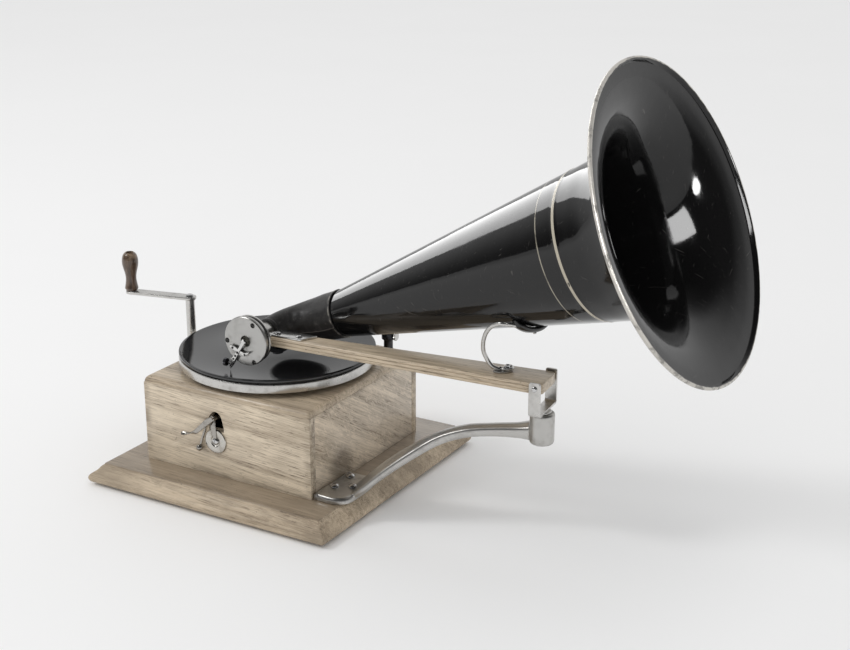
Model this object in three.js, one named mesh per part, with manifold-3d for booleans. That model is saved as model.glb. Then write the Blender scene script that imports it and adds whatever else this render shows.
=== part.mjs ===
// Wind-up disc phonograph: oak case on a moulded base, spring motor, turntable,
// wooden tone beam on a bracket, soundbox, leather elbow and conical horn.
// Millimetres, +Z up. Origin: centre of the base at floor level. -Y is the front;
// the crank stands at -X, and the beam's bracket and the horn's mouth are at +X.
import * as THREE from "three";
import { mergeVertices } from "three/addons/utils/BufferGeometryUtils.js";
import Module from "manifold-3d";

// ---------------------------------------------------------------- dimensions
const radians = THREE.MathUtils.degToRad;

// Base and case; X and Y sizes are half sizes.
const BASE_X = 125.5, BASE_Y = 126.3;
const BASE_TOP_X = 114.2, BASE_TOP_Y = 115.9;
const BASE_TOP = 19.8;
const CASE_X = 88.9, CASE_Y = 88.2;
const WALL = 8;
const FRONT = -CASE_Y;
const BOARD_BOTTOM = 93.7, CASE_TOP = 99.7;
const BRACKET_SCREWS = [[98, -66], [98.6, -42], [112, -59]];
const REST = [70, 70];

// Brake controls on the case front, as (x, z).
const BRAKE_PLATE = [-10.4, 53];
const SPEED_ROD = [-20.3, 66.5];

// Turntable.
const SPINDLE = [-3.2, -2.1];
const PLATTER_R = 89, PLATTER_BOTTOM = 104.5, PLATTER_TOP = 112.5;
const RECORD_R = 88.9;
const RECORD_BOTTOM = PLATTER_TOP + 1.5;
const RECORD_TOP = RECORD_BOTTOM + 2.5;

// Crank.
const CRANK = [-102.6, -1.2];
const CRANK_SHAFT_R = 4.25;
const CRANK_REACH = 60, CRANK_ARM_R = 6;
const CRANK_YAW = Math.atan2(-13.7, -61.8);

// Tone arm: bracket boss, yoke and beam.
const BOSS = [272.8, -22.7];
const BOSS_BOTTOM = 88.6, BOSS_TOP = 116;
const FLANGE_TOP = 26;
const ARM_TURN = radians(5.2);
const BEAM_TOP = 145.5, BEAM_THICK = 8.8;
const PIN_Z = 142.2, PIN_HOLE_R = 1.6;
const FITTING_BOTTOM = BEAM_TOP + 0.3, FITTING_TOP = BEAM_TOP + 1.9;
// Screw places in the beam's frame.
const SOUNDBOX_SCREWS = [[-244, -2.4], [-223, -2.4]];
const HORN_REST_SCREW = [-32.3, 1.6];

// Soundbox centre, as (x, z).
const SOUNDBOX = [12, 144.3];

// Horn: a cone about an axis through its apex; distances run along the axis.
const HORN_APEX = new THREE.Vector3(-52, 4.1, 109);
const HORN_YAW = radians(-1.4), HORN_PITCH = radians(22.4);
const HORN_TAN = Math.tan(radians(9.02));
const HORN_START = 122, HORN_END = 460;
const HORN_RIM_R = 128.6;
const SHEET = 1;

// ---------------------------------------------------------------- materials
const FINISHES = {
  oak: { color: 0xb9935f, roughness: 0.45, metalness: 0 },
  beam: { color: 0xb08a58, roughness: 0.5, metalness: 0 },
  nickel: { color: 0xc9c7c0, roughness: 0.28, metalness: 1 },
  brass: { color: 0xc2a35a, roughness: 0.35, metalness: 1 },
  steel: { color: 0x8e9093, roughness: 0.4, metalness: 1 },
  blued: { color: 0x3a3c40, roughness: 0.4, metalness: 0.9 },
  black: { color: 0x121212, roughness: 0.18, metalness: 0.1 },
  shellac: { color: 0x0b0b0c, roughness: 0.12, metalness: 0 },
  felt: { color: 0x2f3a30, roughness: 0.95, metalness: 0 },
  leather: { color: 0x1b1714, roughness: 0.6, metalness: 0 },
  mica: { color: 0xcfc7b0, roughness: 0.2, metalness: 0 },
  walnut: { color: 0x5a3d26, roughness: 0.45, metalness: 0 },
};

// ---------------------------------------------------------------- solids and meshes
const wasm = await Module();
wasm.setup();
const root = new THREE.Group();
const UP = new THREE.Vector3(0, 0, 1);

// Welds a geometry, drops collapsed triangles and turns it right side out.
function toSolid(geometry) {
  const bare = new THREE.BufferGeometry();
  bare.setAttribute("position", geometry.attributes.position);
  bare.setIndex(geometry.index);
  const welded = mergeVertices(bare, 1e-4);
  const positions = welded.attributes.position;
  const corners = welded.index.array;
  const vertex = (i) => new THREE.Vector3().fromBufferAttribute(positions, i);
  const triangles = [];
  let volume = 0;
  for (let i = 0; i < corners.length; i += 3) {
    const [a, b, c] = corners.slice(i, i + 3);
    if (a === b || b === c || a === c) continue;
    triangles.push([a, b, c]);
    volume += vertex(a).dot(vertex(b).cross(vertex(c)));
  }
  const outward = triangles.flatMap(([a, b, c]) => (volume < 0 ? [a, c, b] : [a, b, c]));
  return new wasm.Manifold(new wasm.Mesh({
    numProp: 3,
    vertProperties: new Float32Array(positions.array),
    triVerts: new Uint32Array(outward),
  }));
}

function toGeometry(solid) {
  const mesh = solid.getMesh();
  const geometry = new THREE.BufferGeometry();
  geometry.setAttribute("position", new THREE.BufferAttribute(mesh.vertProperties, 3));
  geometry.setIndex(new THREE.BufferAttribute(mesh.triVerts, 1));
  geometry.computeVertexNormals();
  return geometry;
}

function add(name, solid, finish, parent = root) {
  const material = new THREE.MeshStandardMaterial(FINISHES[finish]);
  const mesh = new THREE.Mesh(toGeometry(solid), material);
  mesh.name = name;
  parent.add(mesh);
}

function addGroup([x, y] = [0, 0]) {
  const group = new THREE.Group();
  group.position.set(x, y, 0);
  root.add(group);
  return group;
}

const union = (...solids) => solids.reduce((whole, solid) => whole.add(solid));
const cut = (body, ...tools) => tools.reduce((rest, tool) => rest.subtract(tool), body);

// ---------------------------------------------------------------- shapes
// A cylinder from z0 to z1 about a vertical axis at (x, y).
function cyl(radius, z0, z1, segments, x = 0, y = 0) {
  const geometry = new THREE.CylinderGeometry(radius, radius, z1 - z0, segments, 1);
  geometry.rotateX(Math.PI / 2);
  geometry.translate(x, y, (z0 + z1) / 2);
  return toSolid(geometry);
}

// A cylinder or cone between two points.
function rod(from, to, radius, segments, endRadius = radius) {
  const span = new THREE.Vector3(...to).sub(new THREE.Vector3(...from));
  const length = span.length();
  const geometry = new THREE.CylinderGeometry(endRadius, radius, length, segments, 1);
  geometry.rotateX(Math.PI / 2);
  geometry.translate(0, 0, length / 2);
  geometry.applyQuaternion(new THREE.Quaternion().setFromUnitVectors(UP, span.normalize()));
  geometry.translate(...from);
  return toSolid(geometry);
}

// Cylinders along y at (x, z), and along x at (y, z).
const rodY = (radius, y0, y1, segments, x, z) => rod([x, y0, z], [x, y1, z], radius, segments);
const rodX = (radius, x0, x1, segments, y, z) => rod([x0, y, z], [x1, y, z], radius, segments);

function box(x0, x1, y0, y1, z0, z1) {
  const geometry = new THREE.BoxGeometry(x1 - x0, y1 - y0, z1 - z0);
  geometry.translate((x0 + x1) / 2, (y0 + y1) / 2, (z0 + z1) / 2);
  return toSolid(geometry);
}

function ball(radius, widthSegments, heightSegments, centre) {
  const geometry = new THREE.SphereGeometry(radius, widthSegments, heightSegments);
  geometry.translate(...centre);
  return toSolid(geometry);
}

const vectors = (points) => points.map((point) => new THREE.Vector2(...point));

function extrude(outline, depth, holes = []) {
  const shape = new THREE.Shape(vectors(outline));
  shape.holes = holes.map((hole) => new THREE.Path(vectors(hole)));
  return new THREE.ExtrudeGeometry(shape, { depth, bevelEnabled: false });
}

// A flat outline (x, y) extruded from z0 to z1.
function slab(outline, z0, z1, holes) {
  const geometry = extrude(outline, z1 - z0, holes);
  geometry.translate(0, 0, z0);
  return toSolid(geometry);
}

// An outline in (x, z) extruded along y from y0 to y1.
function slabY(outline, y0, y1) {
  const geometry = extrude(outline, y1 - y0);
  geometry.rotateX(Math.PI / 2);
  geometry.translate(0, y1, 0);
  return toSolid(geometry);
}

// A profile of (radius, z) turned about a vertical axis at (x, y).
// It starts and ends on the axis or closes on itself.
function turned(profile, segments, x = 0, y = 0) {
  const geometry = new THREE.LatheGeometry(vectors(profile), segments);
  geometry.rotateX(Math.PI / 2);
  geometry.translate(x, y, 0);
  return toSolid(geometry);
}

// The same about an axis along y at (x, z): profile of (radius, y).
function turnedY(profile, segments, x, z) {
  const geometry = new THREE.LatheGeometry(vectors(profile), segments);
  geometry.translate(x, 0, z);
  return toSolid(geometry);
}

// A skin over rings of points. Its ends are capped, or joined if it is a closed loop.
function skin(rings, closed = false) {
  const count = rings[0].length;
  const points = rings.flat();
  const triangles = [];
  for (let i = 0; i < rings.length - (closed ? 0 : 1); i++)
    for (let j = 0; j < count; j++) {
      const here = i * count;
      const there = ((i + 1) % rings.length) * count;
      const next = (j + 1) % count;
      triangles.push(here + j, here + next, there + next);
      triangles.push(here + j, there + next, there + j);
    }
  for (const i of closed ? [] : [0, rings.length - 1]) {
    const middle = [0, 1, 2].map((k) => rings[i].reduce((sum, point) => sum + point[k] / count, 0));
    const centre = points.push(middle) - 1;
    for (let j = 0; j < count; j++) {
      const edge = [i * count + j, i * count + ((j + 1) % count)];
      if (i === 0) edge.reverse();
      triangles.push(...edge, centre);
    }
  }
  const geometry = new THREE.BufferGeometry();
  geometry.setAttribute("position", new THREE.Float32BufferAttribute(points.flat(), 3));
  geometry.setIndex(triangles);
  return toSolid(geometry);
}

// A ring of points about a centre, in the plane of two unit vectors.
function ringAround(centre, across, upward, radius, count) {
  return Array.from({ length: count }, (_, j) => {
    const angle = (2 * Math.PI * j) / count;
    return centre.clone()
      .addScaledVector(across, radius * Math.cos(angle))
      .addScaledVector(upward, radius * Math.sin(angle))
      .toArray();
  });
}

// A round bar swept along a list of points.
function sweep(points, radius, sides, steps) {
  const curve = new THREE.CatmullRomCurve3(points.map((point) => new THREE.Vector3(...point)));
  const { normals, binormals } = curve.computeFrenetFrames(steps, false);
  return skin(normals.map((normal, i) =>
    ringAround(curve.getPointAt(i / steps), normal, binormals[i], radius, sides)));
}

// ---------------------------------------------------------------- outlines and places
const polar = ([x, y], radius, angle) =>
  [x + radius * Math.cos(angle), y + radius * Math.sin(angle)];
const heading = (angle) => [Math.cos(angle), Math.sin(angle)];
// A point (along, across) in a frame at a place, with its first axis on a unit heading.
const place = ([x, y], [cos, sin], [along, across]) =>
  [x + along * cos - across * sin, y + along * sin + across * cos];
const onBeam = (point) => place(BOSS, heading(ARM_TURN), point);

const circle = (radius, count, x = 0, y = 0) =>
  Array.from({ length: count }, (_, i) => polar([x, y], radius, (2 * Math.PI * i) / count));

function roundRect(halfX, halfY, radius, steps, x = 0, y = 0) {
  const outline = [];
  [[1, 1], [-1, 1], [-1, -1], [1, -1]].forEach(([signX, signY], quarter) => {
    const centre = [x + signX * (halfX - radius), y + signY * (halfY - radius)];
    for (let i = 0; i <= steps; i++)
      outline.push(polar(centre, radius, ((quarter + i / steps) * Math.PI) / 2));
  });
  return outline;
}

// A rounded rectangle with a moulded edge; the profile is (outward offset in x, z).
function moulded(profile, halfX, halfY, radius, steps, yRatio = 1) {
  return skin(profile.map(([offset, z]) =>
    roundRect(halfX + offset, halfY + offset * yRatio, radius, steps).map((p) => [...p, z])));
}

// Unit direction of a flat path at point i, taken between its neighbours.
function pathDirection(path, i) {
  const [x0, y0] = path[Math.max(i - 1, 0)];
  const [x1, y1] = path[Math.min(i + 1, path.length - 1)];
  const length = Math.hypot(x1 - x0, y1 - y0);
  return [(x1 - x0) / length, (y1 - y0) / length];
}

const angleTo = (from, to) => Math.atan2(to[1] - from[1], to[0] - from[0]);

// Gear outline with a tooth or a gap facing its partner. The teeth are slim and
// straight-flanked, so that meshed pairs keep some backlash. Phase is in teeth.
const TOOTH = 0, GAP = 0.5;
function gear(module, teeth, at, partner, phase) {
  const pitchR = (module * teeth) / 2;
  const tipR = pitchR + 0.75 * module;
  const rootR = pitchR - 1.1 * module;
  const halfTooth = (0.4 * Math.PI * module) / 2;
  const small = teeth <= 10;
  const rootAngle = (halfTooth + (small ? 0.1 : 0.3) * module) / rootR;
  const tipAngle = (halfTooth - (small ? 0.3 : 0.26) * module) / tipR;
  const facing = heading(angleTo(at, partner));
  const outline = [];
  for (let i = 0; i < teeth; i++) {
    const middle = (2 * Math.PI * (i + phase)) / teeth;
    const corners = [[rootR, -rootAngle], [tipR, -tipAngle], [tipR, tipAngle], [rootR, rootAngle]];
    for (const [radius, offset] of corners)
      outline.push(place(at, facing, polar([0, 0], radius, middle + offset)));
  }
  return outline;
}

// ---------------------------------------------------------------- base and case
function basePlinth() {
  const inset = BASE_X - BASE_TOP_X;
  // Ogee moulding: offset, z.
  const ogee = [
    [0, 2.2], [0, 7.2], [-1.4, 7.8], [-2.2, 10],
    [-6.4, 12.6], [-9, 16], [-9.6, 18.6], [-inset, BASE_TOP],
  ];
  const body = moulded(ogee, BASE_X, BASE_Y, 1.2, 1, (BASE_Y - BASE_TOP_Y) / inset);
  const footBoard = slab(roundRect(112, 112, 6, 1), 0, 2.4);
  return cut(body.add(footBoard), ...BRACKET_SCREWS.map((at) => cyl(1.9, 8, 30, 12, ...at)));
}

const caseBoard = (x0, x1, y0, y1) => box(x0, x1, y0, y1, BASE_TOP, BOARD_BOTTOM);

// The front board laps the ends of the side boards.
function caseFront() {
  // Brake lever slot: x, z.
  const slot = [
    [-17.2, 62.5], [-18.2, 70.5], [-16, 77], [-11.5, 80.5],
    [-6, 79.5], [-3, 74], [-1.5, 66], [-2.5, 62.5],
  ];
  return cut(
    caseBoard(-CASE_X, CASE_X, FRONT, FRONT + WALL),
    slabY(slot, FRONT - 2, FRONT + WALL + 2),
    rodY(1.7, FRONT - 2, FRONT + 7, 12, ...BRAKE_PLATE),
    rodY(1.28, FRONT - 2, FRONT + WALL + 2, 12, ...SPEED_ROD),
  );
}

// The left board has a low opening for the winding wheel.
function caseLeft() {
  const board = caseBoard(-CASE_X, -CASE_X + WALL, FRONT + WALL, CASE_Y - WALL);
  return cut(board, box(-CASE_X - 2, -CASE_X + WALL + 2, -61.5, 20, 24.5, 30.2));
}

function motorBoard() {
  // Rounded edge: offset, z.
  const edge = [[0, BOARD_BOTTOM], [0, 94.4], [-0.8, 96.8], [-2.6, 98.8], [-5.5, CASE_TOP]];
  const board = moulded(edge, CASE_X, CASE_Y, 2.2, 2);
  return cut(board, cyl(6.5, 80, 110, 24, ...SPINDLE), cyl(2.6, 94.5, 110, 16, ...REST));
}

add("base_plinth", basePlinth(), "oak");
add("case_front", caseFront(), "oak");
add("case_back", caseBoard(-CASE_X, CASE_X, CASE_Y - WALL, CASE_Y), "oak");
add("case_left", caseLeft(), "oak");
add("case_right", caseBoard(CASE_X - WALL, CASE_X, FRONT + WALL, CASE_Y - WALL), "oak");
add("motor_board", motorBoard(), "oak");

// ---------------------------------------------------------------- motor layout
const WIND_MODULE = 2, FINE_MODULE = 1.5;
const TEETH = {
  crank: 8, winding: 48,
  barrel: 28, interPinion: 8,
  interWheel: 32, spindlePinion: 10,
  spindleWheel: 28, governorPinion: 8,
};
const gearDistance = (module, teethA, teethB) => (module * (teethA + teethB)) / 2;

// Third corner of a triangle on two places, anticlockwise of the line from a to b.
function thirdCorner(a, b, distanceA, distanceB) {
  const base = Math.hypot(b[0] - a[0], b[1] - a[1]);
  const cosine = (distanceA ** 2 + base ** 2 - distanceB ** 2) / (2 * distanceA * base);
  return polar(a, distanceA, angleTo(a, b) + Math.acos(cosine));
}

const BARREL = polar(CRANK, gearDistance(WIND_MODULE, TEETH.crank, TEETH.winding), -0.3572);
const INTER = thirdCorner(
  BARREL,
  SPINDLE,
  gearDistance(WIND_MODULE, TEETH.barrel, TEETH.interPinion),
  gearDistance(FINE_MODULE, TEETH.interWheel, TEETH.spindlePinion),
);
const GOVERNOR = polar(
  SPINDLE, gearDistance(FINE_MODULE, TEETH.spindleWheel, TEETH.governorPinion), -0.87);
const LEVER_PIVOT = [29, -41];
const CLICK = [BARREL[0] + 27, BARREL[1] - 6];

const PLATE_THICK = 2.5;
const LOW_PLATE = 33, LOW_PLATE_TOP = LOW_PLATE + PLATE_THICK;
const HIGH_PLATE = BOARD_BOTTOM - PLATE_THICK;
const PILLARS = [[-70, 28], [38, 28], [39, -49]];
const ARBOR_R = 4, ARBOR_HOLE_R = 4.05;
const DRUM_HOLE_R = 4.1;
const STUD_R = 1.6, STUD_HOLE_R = 1.7;

// Thin arbor ends that run in the plates: radius, z.
const LOWER_PIVOT = [[0, 33.2], [1.5, 33.2], [1.5, 35.8]];
const UPPER_PIVOT = [[1.5, 90.8], [1.5, 93.4], [0, 93.4]];

const motor = addGroup();

// ---------------------------------------------------------------- motor frame
// A plate with bores listed as radius, segments, place.
function motorPlate(bottom, bores) {
  const top = bottom + PLATE_THICK;
  return cut(
    slab(roundRect(61, 45, 8, 4, -17, -9.5), bottom, top),
    ...bores.map(([radius, segments, at]) => cyl(radius, bottom - 2, top + 2, segments, ...at)),
  );
}

// The stud for the click hangs under the lower plate.
function bottomPlate() {
  const bores = [[4.09, 20, BARREL], [1.6, 12, SPINDLE], [1.6, 12, INTER], [1.6, 12, GOVERNOR]];
  return motorPlate(LOW_PLATE, bores).add(cyl(STUD_R, 29, LOW_PLATE + 0.2, 10, ...CLICK));
}

// The stud for the brake lever hangs under the upper plate.
function topPlate() {
  const bores = [[2.58, 20, BARREL], [3.59, 20, SPINDLE], [1.6, 12, INTER], [1.6, 12, GOVERNOR]];
  return motorPlate(HIGH_PLATE, bores).add(cyl(STUD_R, 72, HIGH_PLATE + 0.2, 10, ...LEVER_PIVOT));
}

function pillar(at) {
  const profile = [
    [0, LOW_PLATE_TOP], [4, LOW_PLATE_TOP], [2.8, LOW_PLATE_TOP + 4],
    [2.8, HIGH_PLATE - 4], [4, HIGH_PLATE], [0, HIGH_PLATE],
  ];
  return turned(profile, 12, ...at);
}

add("motor_bottom_plate", bottomPlate(), "brass", motor);
add("motor_top_plate", topPlate(), "brass", motor);
PILLARS.forEach((at, i) => add(`motor_pillar_${i + 1}`, pillar(at), "steel", motor));

// ---------------------------------------------------------------- spindle
// It carries a leaf pinion, and a collar for the platter.
function spindle() {
  const profile = [
    ...LOWER_PIVOT, [3.5, 35.8], [3.5, 99.2], [5.4, 99.9], [5.4, 101.9],
    [3.5, 101.9], [3.5, 125], [0, 125],
  ];
  const pinion = gear(FINE_MODULE, TEETH.spindlePinion, SPINDLE, INTER, GAP);
  return turned(profile, 20, ...SPINDLE).add(slab(pinion, 68.6, 74.4));
}

function spindleWheel() {
  const outline = gear(FINE_MODULE, TEETH.spindleWheel, SPINDLE, GOVERNOR, TOOTH);
  return slab(outline, 40.4, 42.6, [circle(3.56, 20, ...SPINDLE)]);
}

add("spindle", spindle(), "steel", motor);
add("spindle_wheel", spindleWheel(), "brass", motor);

// ---------------------------------------------------------------- spring barrel and winding
const DRUM_INNER_R = 23.4;

function springBarrel() {
  const outline = gear(WIND_MODULE, TEETH.barrel, BARREL, INTER, TOOTH);
  const toothedRim = slab(outline, 61, 64, [circle(DRUM_INNER_R, 28, ...BARREL)]);
  const cup = cut(
    cyl(24.8, 36.2, 61.2, 28, ...BARREL),
    cyl(DRUM_INNER_R, 37.8, 61.4, 28, ...BARREL),
  );
  return cut(toothedRim.add(cup), cyl(DRUM_HOLE_R, 30, 70, 20, ...BARREL));
}

function barrelCover() {
  const hole = circle(DRUM_HOLE_R, 20, ...BARREL);
  return slab(circle(DRUM_INNER_R - 0.3, 28, ...BARREL), 61.6, 63.4, [hole]);
}

function mainspring() {
  const turns = 3, steps = 36;
  const startR = 6.6, growth = 15.8;
  const spiral = (offset) => Array.from({ length: steps + 1 }, (_, i) =>
    polar(BARREL, startR + (growth * i) / steps + offset, (2 * Math.PI * turns * i) / steps));
  return slab([...spiral(0.5), ...spiral(-0.1).reverse()], 38.4, 60.6);
}

function barrelArbor() {
  const profile = [
    [0, 24.2], [ARBOR_R, 24.2], [ARBOR_R, 88.4], [2.5, 88.4], [2.5, 93.4], [0, 93.4],
  ];
  return turned(profile, 20, ...BARREL);
}

function windingWheel() {
  const outline = gear(WIND_MODULE, TEETH.winding, BARREL, CRANK, TOOTH);
  return slab(outline, 26, 29, [circle(ARBOR_HOLE_R, 20, ...BARREL)]);
}

function ratchetWheel() {
  const teeth = 14;
  const outline = [];
  for (let i = 0; i < teeth; i++) {
    const angle = (2 * Math.PI * i) / teeth;
    outline.push(polar(BARREL, 16, angle), polar(BARREL, 13.4, angle + 0.02));
  }
  return slab(outline, 29.3, 31.3, [circle(ARBOR_HOLE_R, 20, ...BARREL)]);
}

function click() {
  // From its stud: towards the barrel's axis, across.
  const outline = [
    [-3.6, 0], [-2.6, -2.8], [0, -3.8], [3, -3], [9, 3.6],
    [10.6, 8.4], [6.6, 6.2], [1.5, 3.6], [-2.4, 2.8],
  ];
  const facing = heading(angleTo(CLICK, BARREL));
  const placed = outline.map((point) => place(CLICK, facing, point));
  return slab(placed, 29.3, 31.3, [circle(STUD_HOLE_R, 10, ...CLICK)]);
}

add("spring_barrel", springBarrel(), "brass", motor);
add("barrel_cover", barrelCover(), "brass", motor);
add("mainspring", mainspring(), "blued", motor);
add("barrel_arbor", barrelArbor(), "steel", motor);
add("winding_wheel", windingWheel(), "brass", motor);
add("ratchet_wheel", ratchetWheel(), "steel", motor);
add("click", click(), "steel", motor);

// ---------------------------------------------------------------- intermediate arbor
function intermediateArbor() {
  const profile = [...LOWER_PIVOT, [2.6, 35.8], [2.6, 90.8], ...UPPER_PIVOT];
  const pinion = gear(WIND_MODULE, TEETH.interPinion, INTER, BARREL, GAP);
  return turned(profile, 12, ...INTER).add(slab(pinion, 60.4, 66.4));
}

function intermediateWheel() {
  const outline = gear(FINE_MODULE, TEETH.interWheel, INTER, SPINDLE, TOOTH);
  return slab(outline, 70, 72.4, [circle(2.65, 12, ...INTER)]);
}

add("intermediate_arbor", intermediateArbor(), "steel", motor);
add("intermediate_wheel", intermediateWheel(), "brass", motor);

// ---------------------------------------------------------------- flyball governor
function governorSpindle() {
  const profile = [
    ...LOWER_PIVOT, [2, 35.8], [2, 46], [4, 46], [4, 50], [2, 50], [2, 90.8], ...UPPER_PIVOT,
  ];
  const pinion = gear(FINE_MODULE, TEETH.governorPinion, GOVERNOR, SPINDLE, GAP);
  return turned(profile, 12, ...GOVERNOR).add(slab(pinion, 39, 44.2));
}

function governorDisc() {
  const profile = [[2.06, 66], [4, 66], [4, 70], [12, 70.4], [12, 72], [2.06, 72], [2.06, 66]];
  return turned(profile, 20, ...GOVERNOR);
}

// A ball on a bowed leaf spring.
function governorWeight(angle) {
  const at = (radius, z, across) => [...place(GOVERNOR, heading(angle), [radius, across]), z];
  const halfWidth = 2.2, thick = 0.6;
  // Leaf: radius of its inner face, z.
  const path = [[4.3, 46.4], [4.4, 49.5], [8, 53], [11.4, 58], [8, 63], [4.4, 66.4], [4.3, 69.6]];
  const leaf = skin(path.map(([radius, z]) => [
    at(radius, z, -halfWidth),
    at(radius + thick, z, -halfWidth),
    at(radius + thick, z, halfWidth),
    at(radius, z, halfWidth),
  ]));
  return leaf.add(ball(4.2, 7, 5, at(13.6, 58, 0)));
}

add("governor_spindle", governorSpindle(), "steel", motor);
add("governor_disc", governorDisc(), "brass", motor);
for (const i of [0, 1])
  add(`governor_weight_${i + 1}`, governorWeight(i * Math.PI + 0.5), "brass", motor);

// ---------------------------------------------------------------- brake controls on the front
// An arm inside the case has a pad beside the governor disc. It runs out through the
// slot, and outside it a strap hangs down to the left.
function brakeLever() {
  const padX = GOVERNOR[0];
  const outline = [
    [32.8, -41], [31, -37.6], [27, -37.6], [22, -39.4],
    [padX + 3, -38.6], [padX + 2.5, -35.4], [padX - 2.5, -35.4], [padX - 3.5, -39.2],
    [-9.5, -55.2], [-12.5, -84], [-12.5, -94.2], [-7.5, -94.2],
    [-7.5, -84], [-5.2, -57.4], [12, -44.2], [27, -44.6], [31, -44.4],
  ];
  const inside = slab(outline, 74.2, 75.8, [circle(STUD_HOLE_R, 10, ...LEVER_PIVOT)]);
  const pad = box(padX - 2.5, padX + 2.5, -38.6, -36.6, 70.6, 74.4);
  // Strap: x, z, half width, distance turned out to the front.
  const stations = [
    [-7.5, 76, 3.2, 0], [-14.5, 72.5, 3.6, 0], [-22, 65.4, 3.2, 0],
    [-31.5, 58.6, 2.6, 0], [-36.5, 57.2, 1.8, 0], [-42.8, 56.2, 1.9, 2.4],
  ];
  const strap = skin(stations.map(([x, z, halfWidth, out], i) => {
    const direction = pathDirection(stations, i);
    const corner = (side, y) => {
      const [edgeX, edgeZ] = place([x, z], direction, [0, side * halfWidth]);
      return [edgeX, y - out, edgeZ];
    };
    return [corner(1, -93), corner(-1, -93), corner(-1, -94.2), corner(1, -94.2)];
  }));
  return union(inside, pad, strap);
}

function speedRod() {
  return union(
    rodY(1.15, -78, -90.8, 10, ...SPEED_ROD),
    rod([SPEED_ROD[0], -89.9, 67.4], [-26, -90.8, 46], 1.1, 8),
    ball(3.1, 8, 6, [-26.2, -91.7, 45]),
  );
}

function brakePlate() {
  const profile = [
    [3.9, FRONT - 1.5], [11.2, FRONT - 1.5], [12, FRONT - 0.9], [12, FRONT],
    [1.8, FRONT], [1.8, FRONT - 0.6], [3.9, FRONT - 1.5],
  ];
  return turnedY(profile, 28, ...BRAKE_PLATE);
}

function brakePlateScrew() {
  const profile = [
    [0, FRONT - 2.6], [2.6, FRONT - 2.6], [3.6, FRONT - 2.1], [3.7, FRONT - 1.6],
    [1.6, FRONT - 0.8], [1.6, FRONT + 6], [0, FRONT + 6],
  ];
  const slot = new THREE.BoxGeometry(9, 1.4, 0.8);
  slot.rotateY(-0.5);
  slot.translate(BRAKE_PLATE[0], FRONT - 2.7, BRAKE_PLATE[1]);
  return cut(turnedY(profile, 12, ...BRAKE_PLATE), toSolid(slot));
}

add("brake_lever", brakeLever(), "nickel");
add("speed_rod", speedRod(), "nickel");
add("brake_plate", brakePlate(), "brass");
add("brake_plate_screw", brakePlateScrew(), "steel");

// ---------------------------------------------------------------- turntable
const turntable = addGroup(SPINDLE);
const DISC_HOLE_R = 3.7;

// A disc with a thick hub and a rim that hangs below it.
function platter() {
  const profile = [
    [3.56, 102], [8, 102], [8, 109], [86.2, 109], [86.2, PLATTER_BOTTOM],
    [PLATTER_R, PLATTER_BOTTOM], [PLATTER_R, PLATTER_TOP], [3.56, PLATTER_TOP], [3.56, 102],
  ];
  return turned(profile, 40);
}

const disc = (radius, segments, z0, z1) =>
  slab(circle(radius, segments), z0, z1, [circle(DISC_HOLE_R, 12)]);

function recordNut() {
  const bottom = RECORD_TOP + 0.05;
  const profile = [
    [8.2, bottom], [8.75, RECORD_TOP + 0.7], [8.75, 122.4], [5.2, 123.4], [5.2, 127.6],
    [3.6, 129], [0, 129], [0, 125.6], [3.62, 125.6], [3.62, bottom], [8.2, bottom],
  ];
  return turned(profile, 20);
}

add("turntable", platter(), "nickel", turntable);
add("felt_mat", disc(86, 28, PLATTER_TOP, RECORD_BOTTOM), "felt", turntable);
add("record", disc(RECORD_R, 40, RECORD_BOTTOM, RECORD_TOP), "shellac", turntable);
add("record_nut", recordNut(), "blued", turntable);

// ---------------------------------------------------------------- crank
const crank = addGroup(CRANK);
const CRANK_END = polar([0, 0], CRANK_REACH, CRANK_YAW);

function crankShaft() {
  const profile = [
    [0, 22.6], [CRANK_SHAFT_R, 22.6], [CRANK_SHAFT_R, 144.2],
    [2.4, 144.2], [2.4, 148.4], [0, 148.4],
  ];
  const barrel = [BARREL[0] - CRANK[0], BARREL[1] - CRANK[1]];
  const pinion = gear(WIND_MODULE, TEETH.crank, [0, 0], barrel, GAP);
  return turned(profile, 20).add(slab(pinion, 25.2, 29.8));
}

// A flat bar with round ends and the knob's pin at its outer end.
function crankArm() {
  const halfRound = (centre, start) => Array.from({ length: 7 }, (_, i) =>
    polar(centre, CRANK_ARM_R, start + (Math.PI * i) / 6));
  const outline = [
    ...halfRound([0, 0], CRANK_YAW + Math.PI / 2),
    ...halfRound(CRANK_END, CRANK_YAW - Math.PI / 2),
  ];
  const pin = [[0, 146.8], [2.2, 146.8], [2.2, 180], [3.2, 180.4], [3.2, 181.4], [0, 181.4]];
  return slab(outline, 144.3, 147, [circle(2.46, 20)]).add(turned(pin, 12, ...CRANK_END));
}

function crankKnob() {
  const profile = [
    [2.3, 147.4], [5.4, 147.4], [6.3, 149.2], [5.1, 156.6], [4.9, 160.4],
    [6.2, 167], [7.6, 173.2], [7.4, 178.4], [5.2, 183.2], [3.6, 184.4],
    [3.6, 179.6], [2.3, 179.6], [2.3, 147.4],
  ];
  return turned(profile, 18, ...CRANK_END);
}

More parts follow.
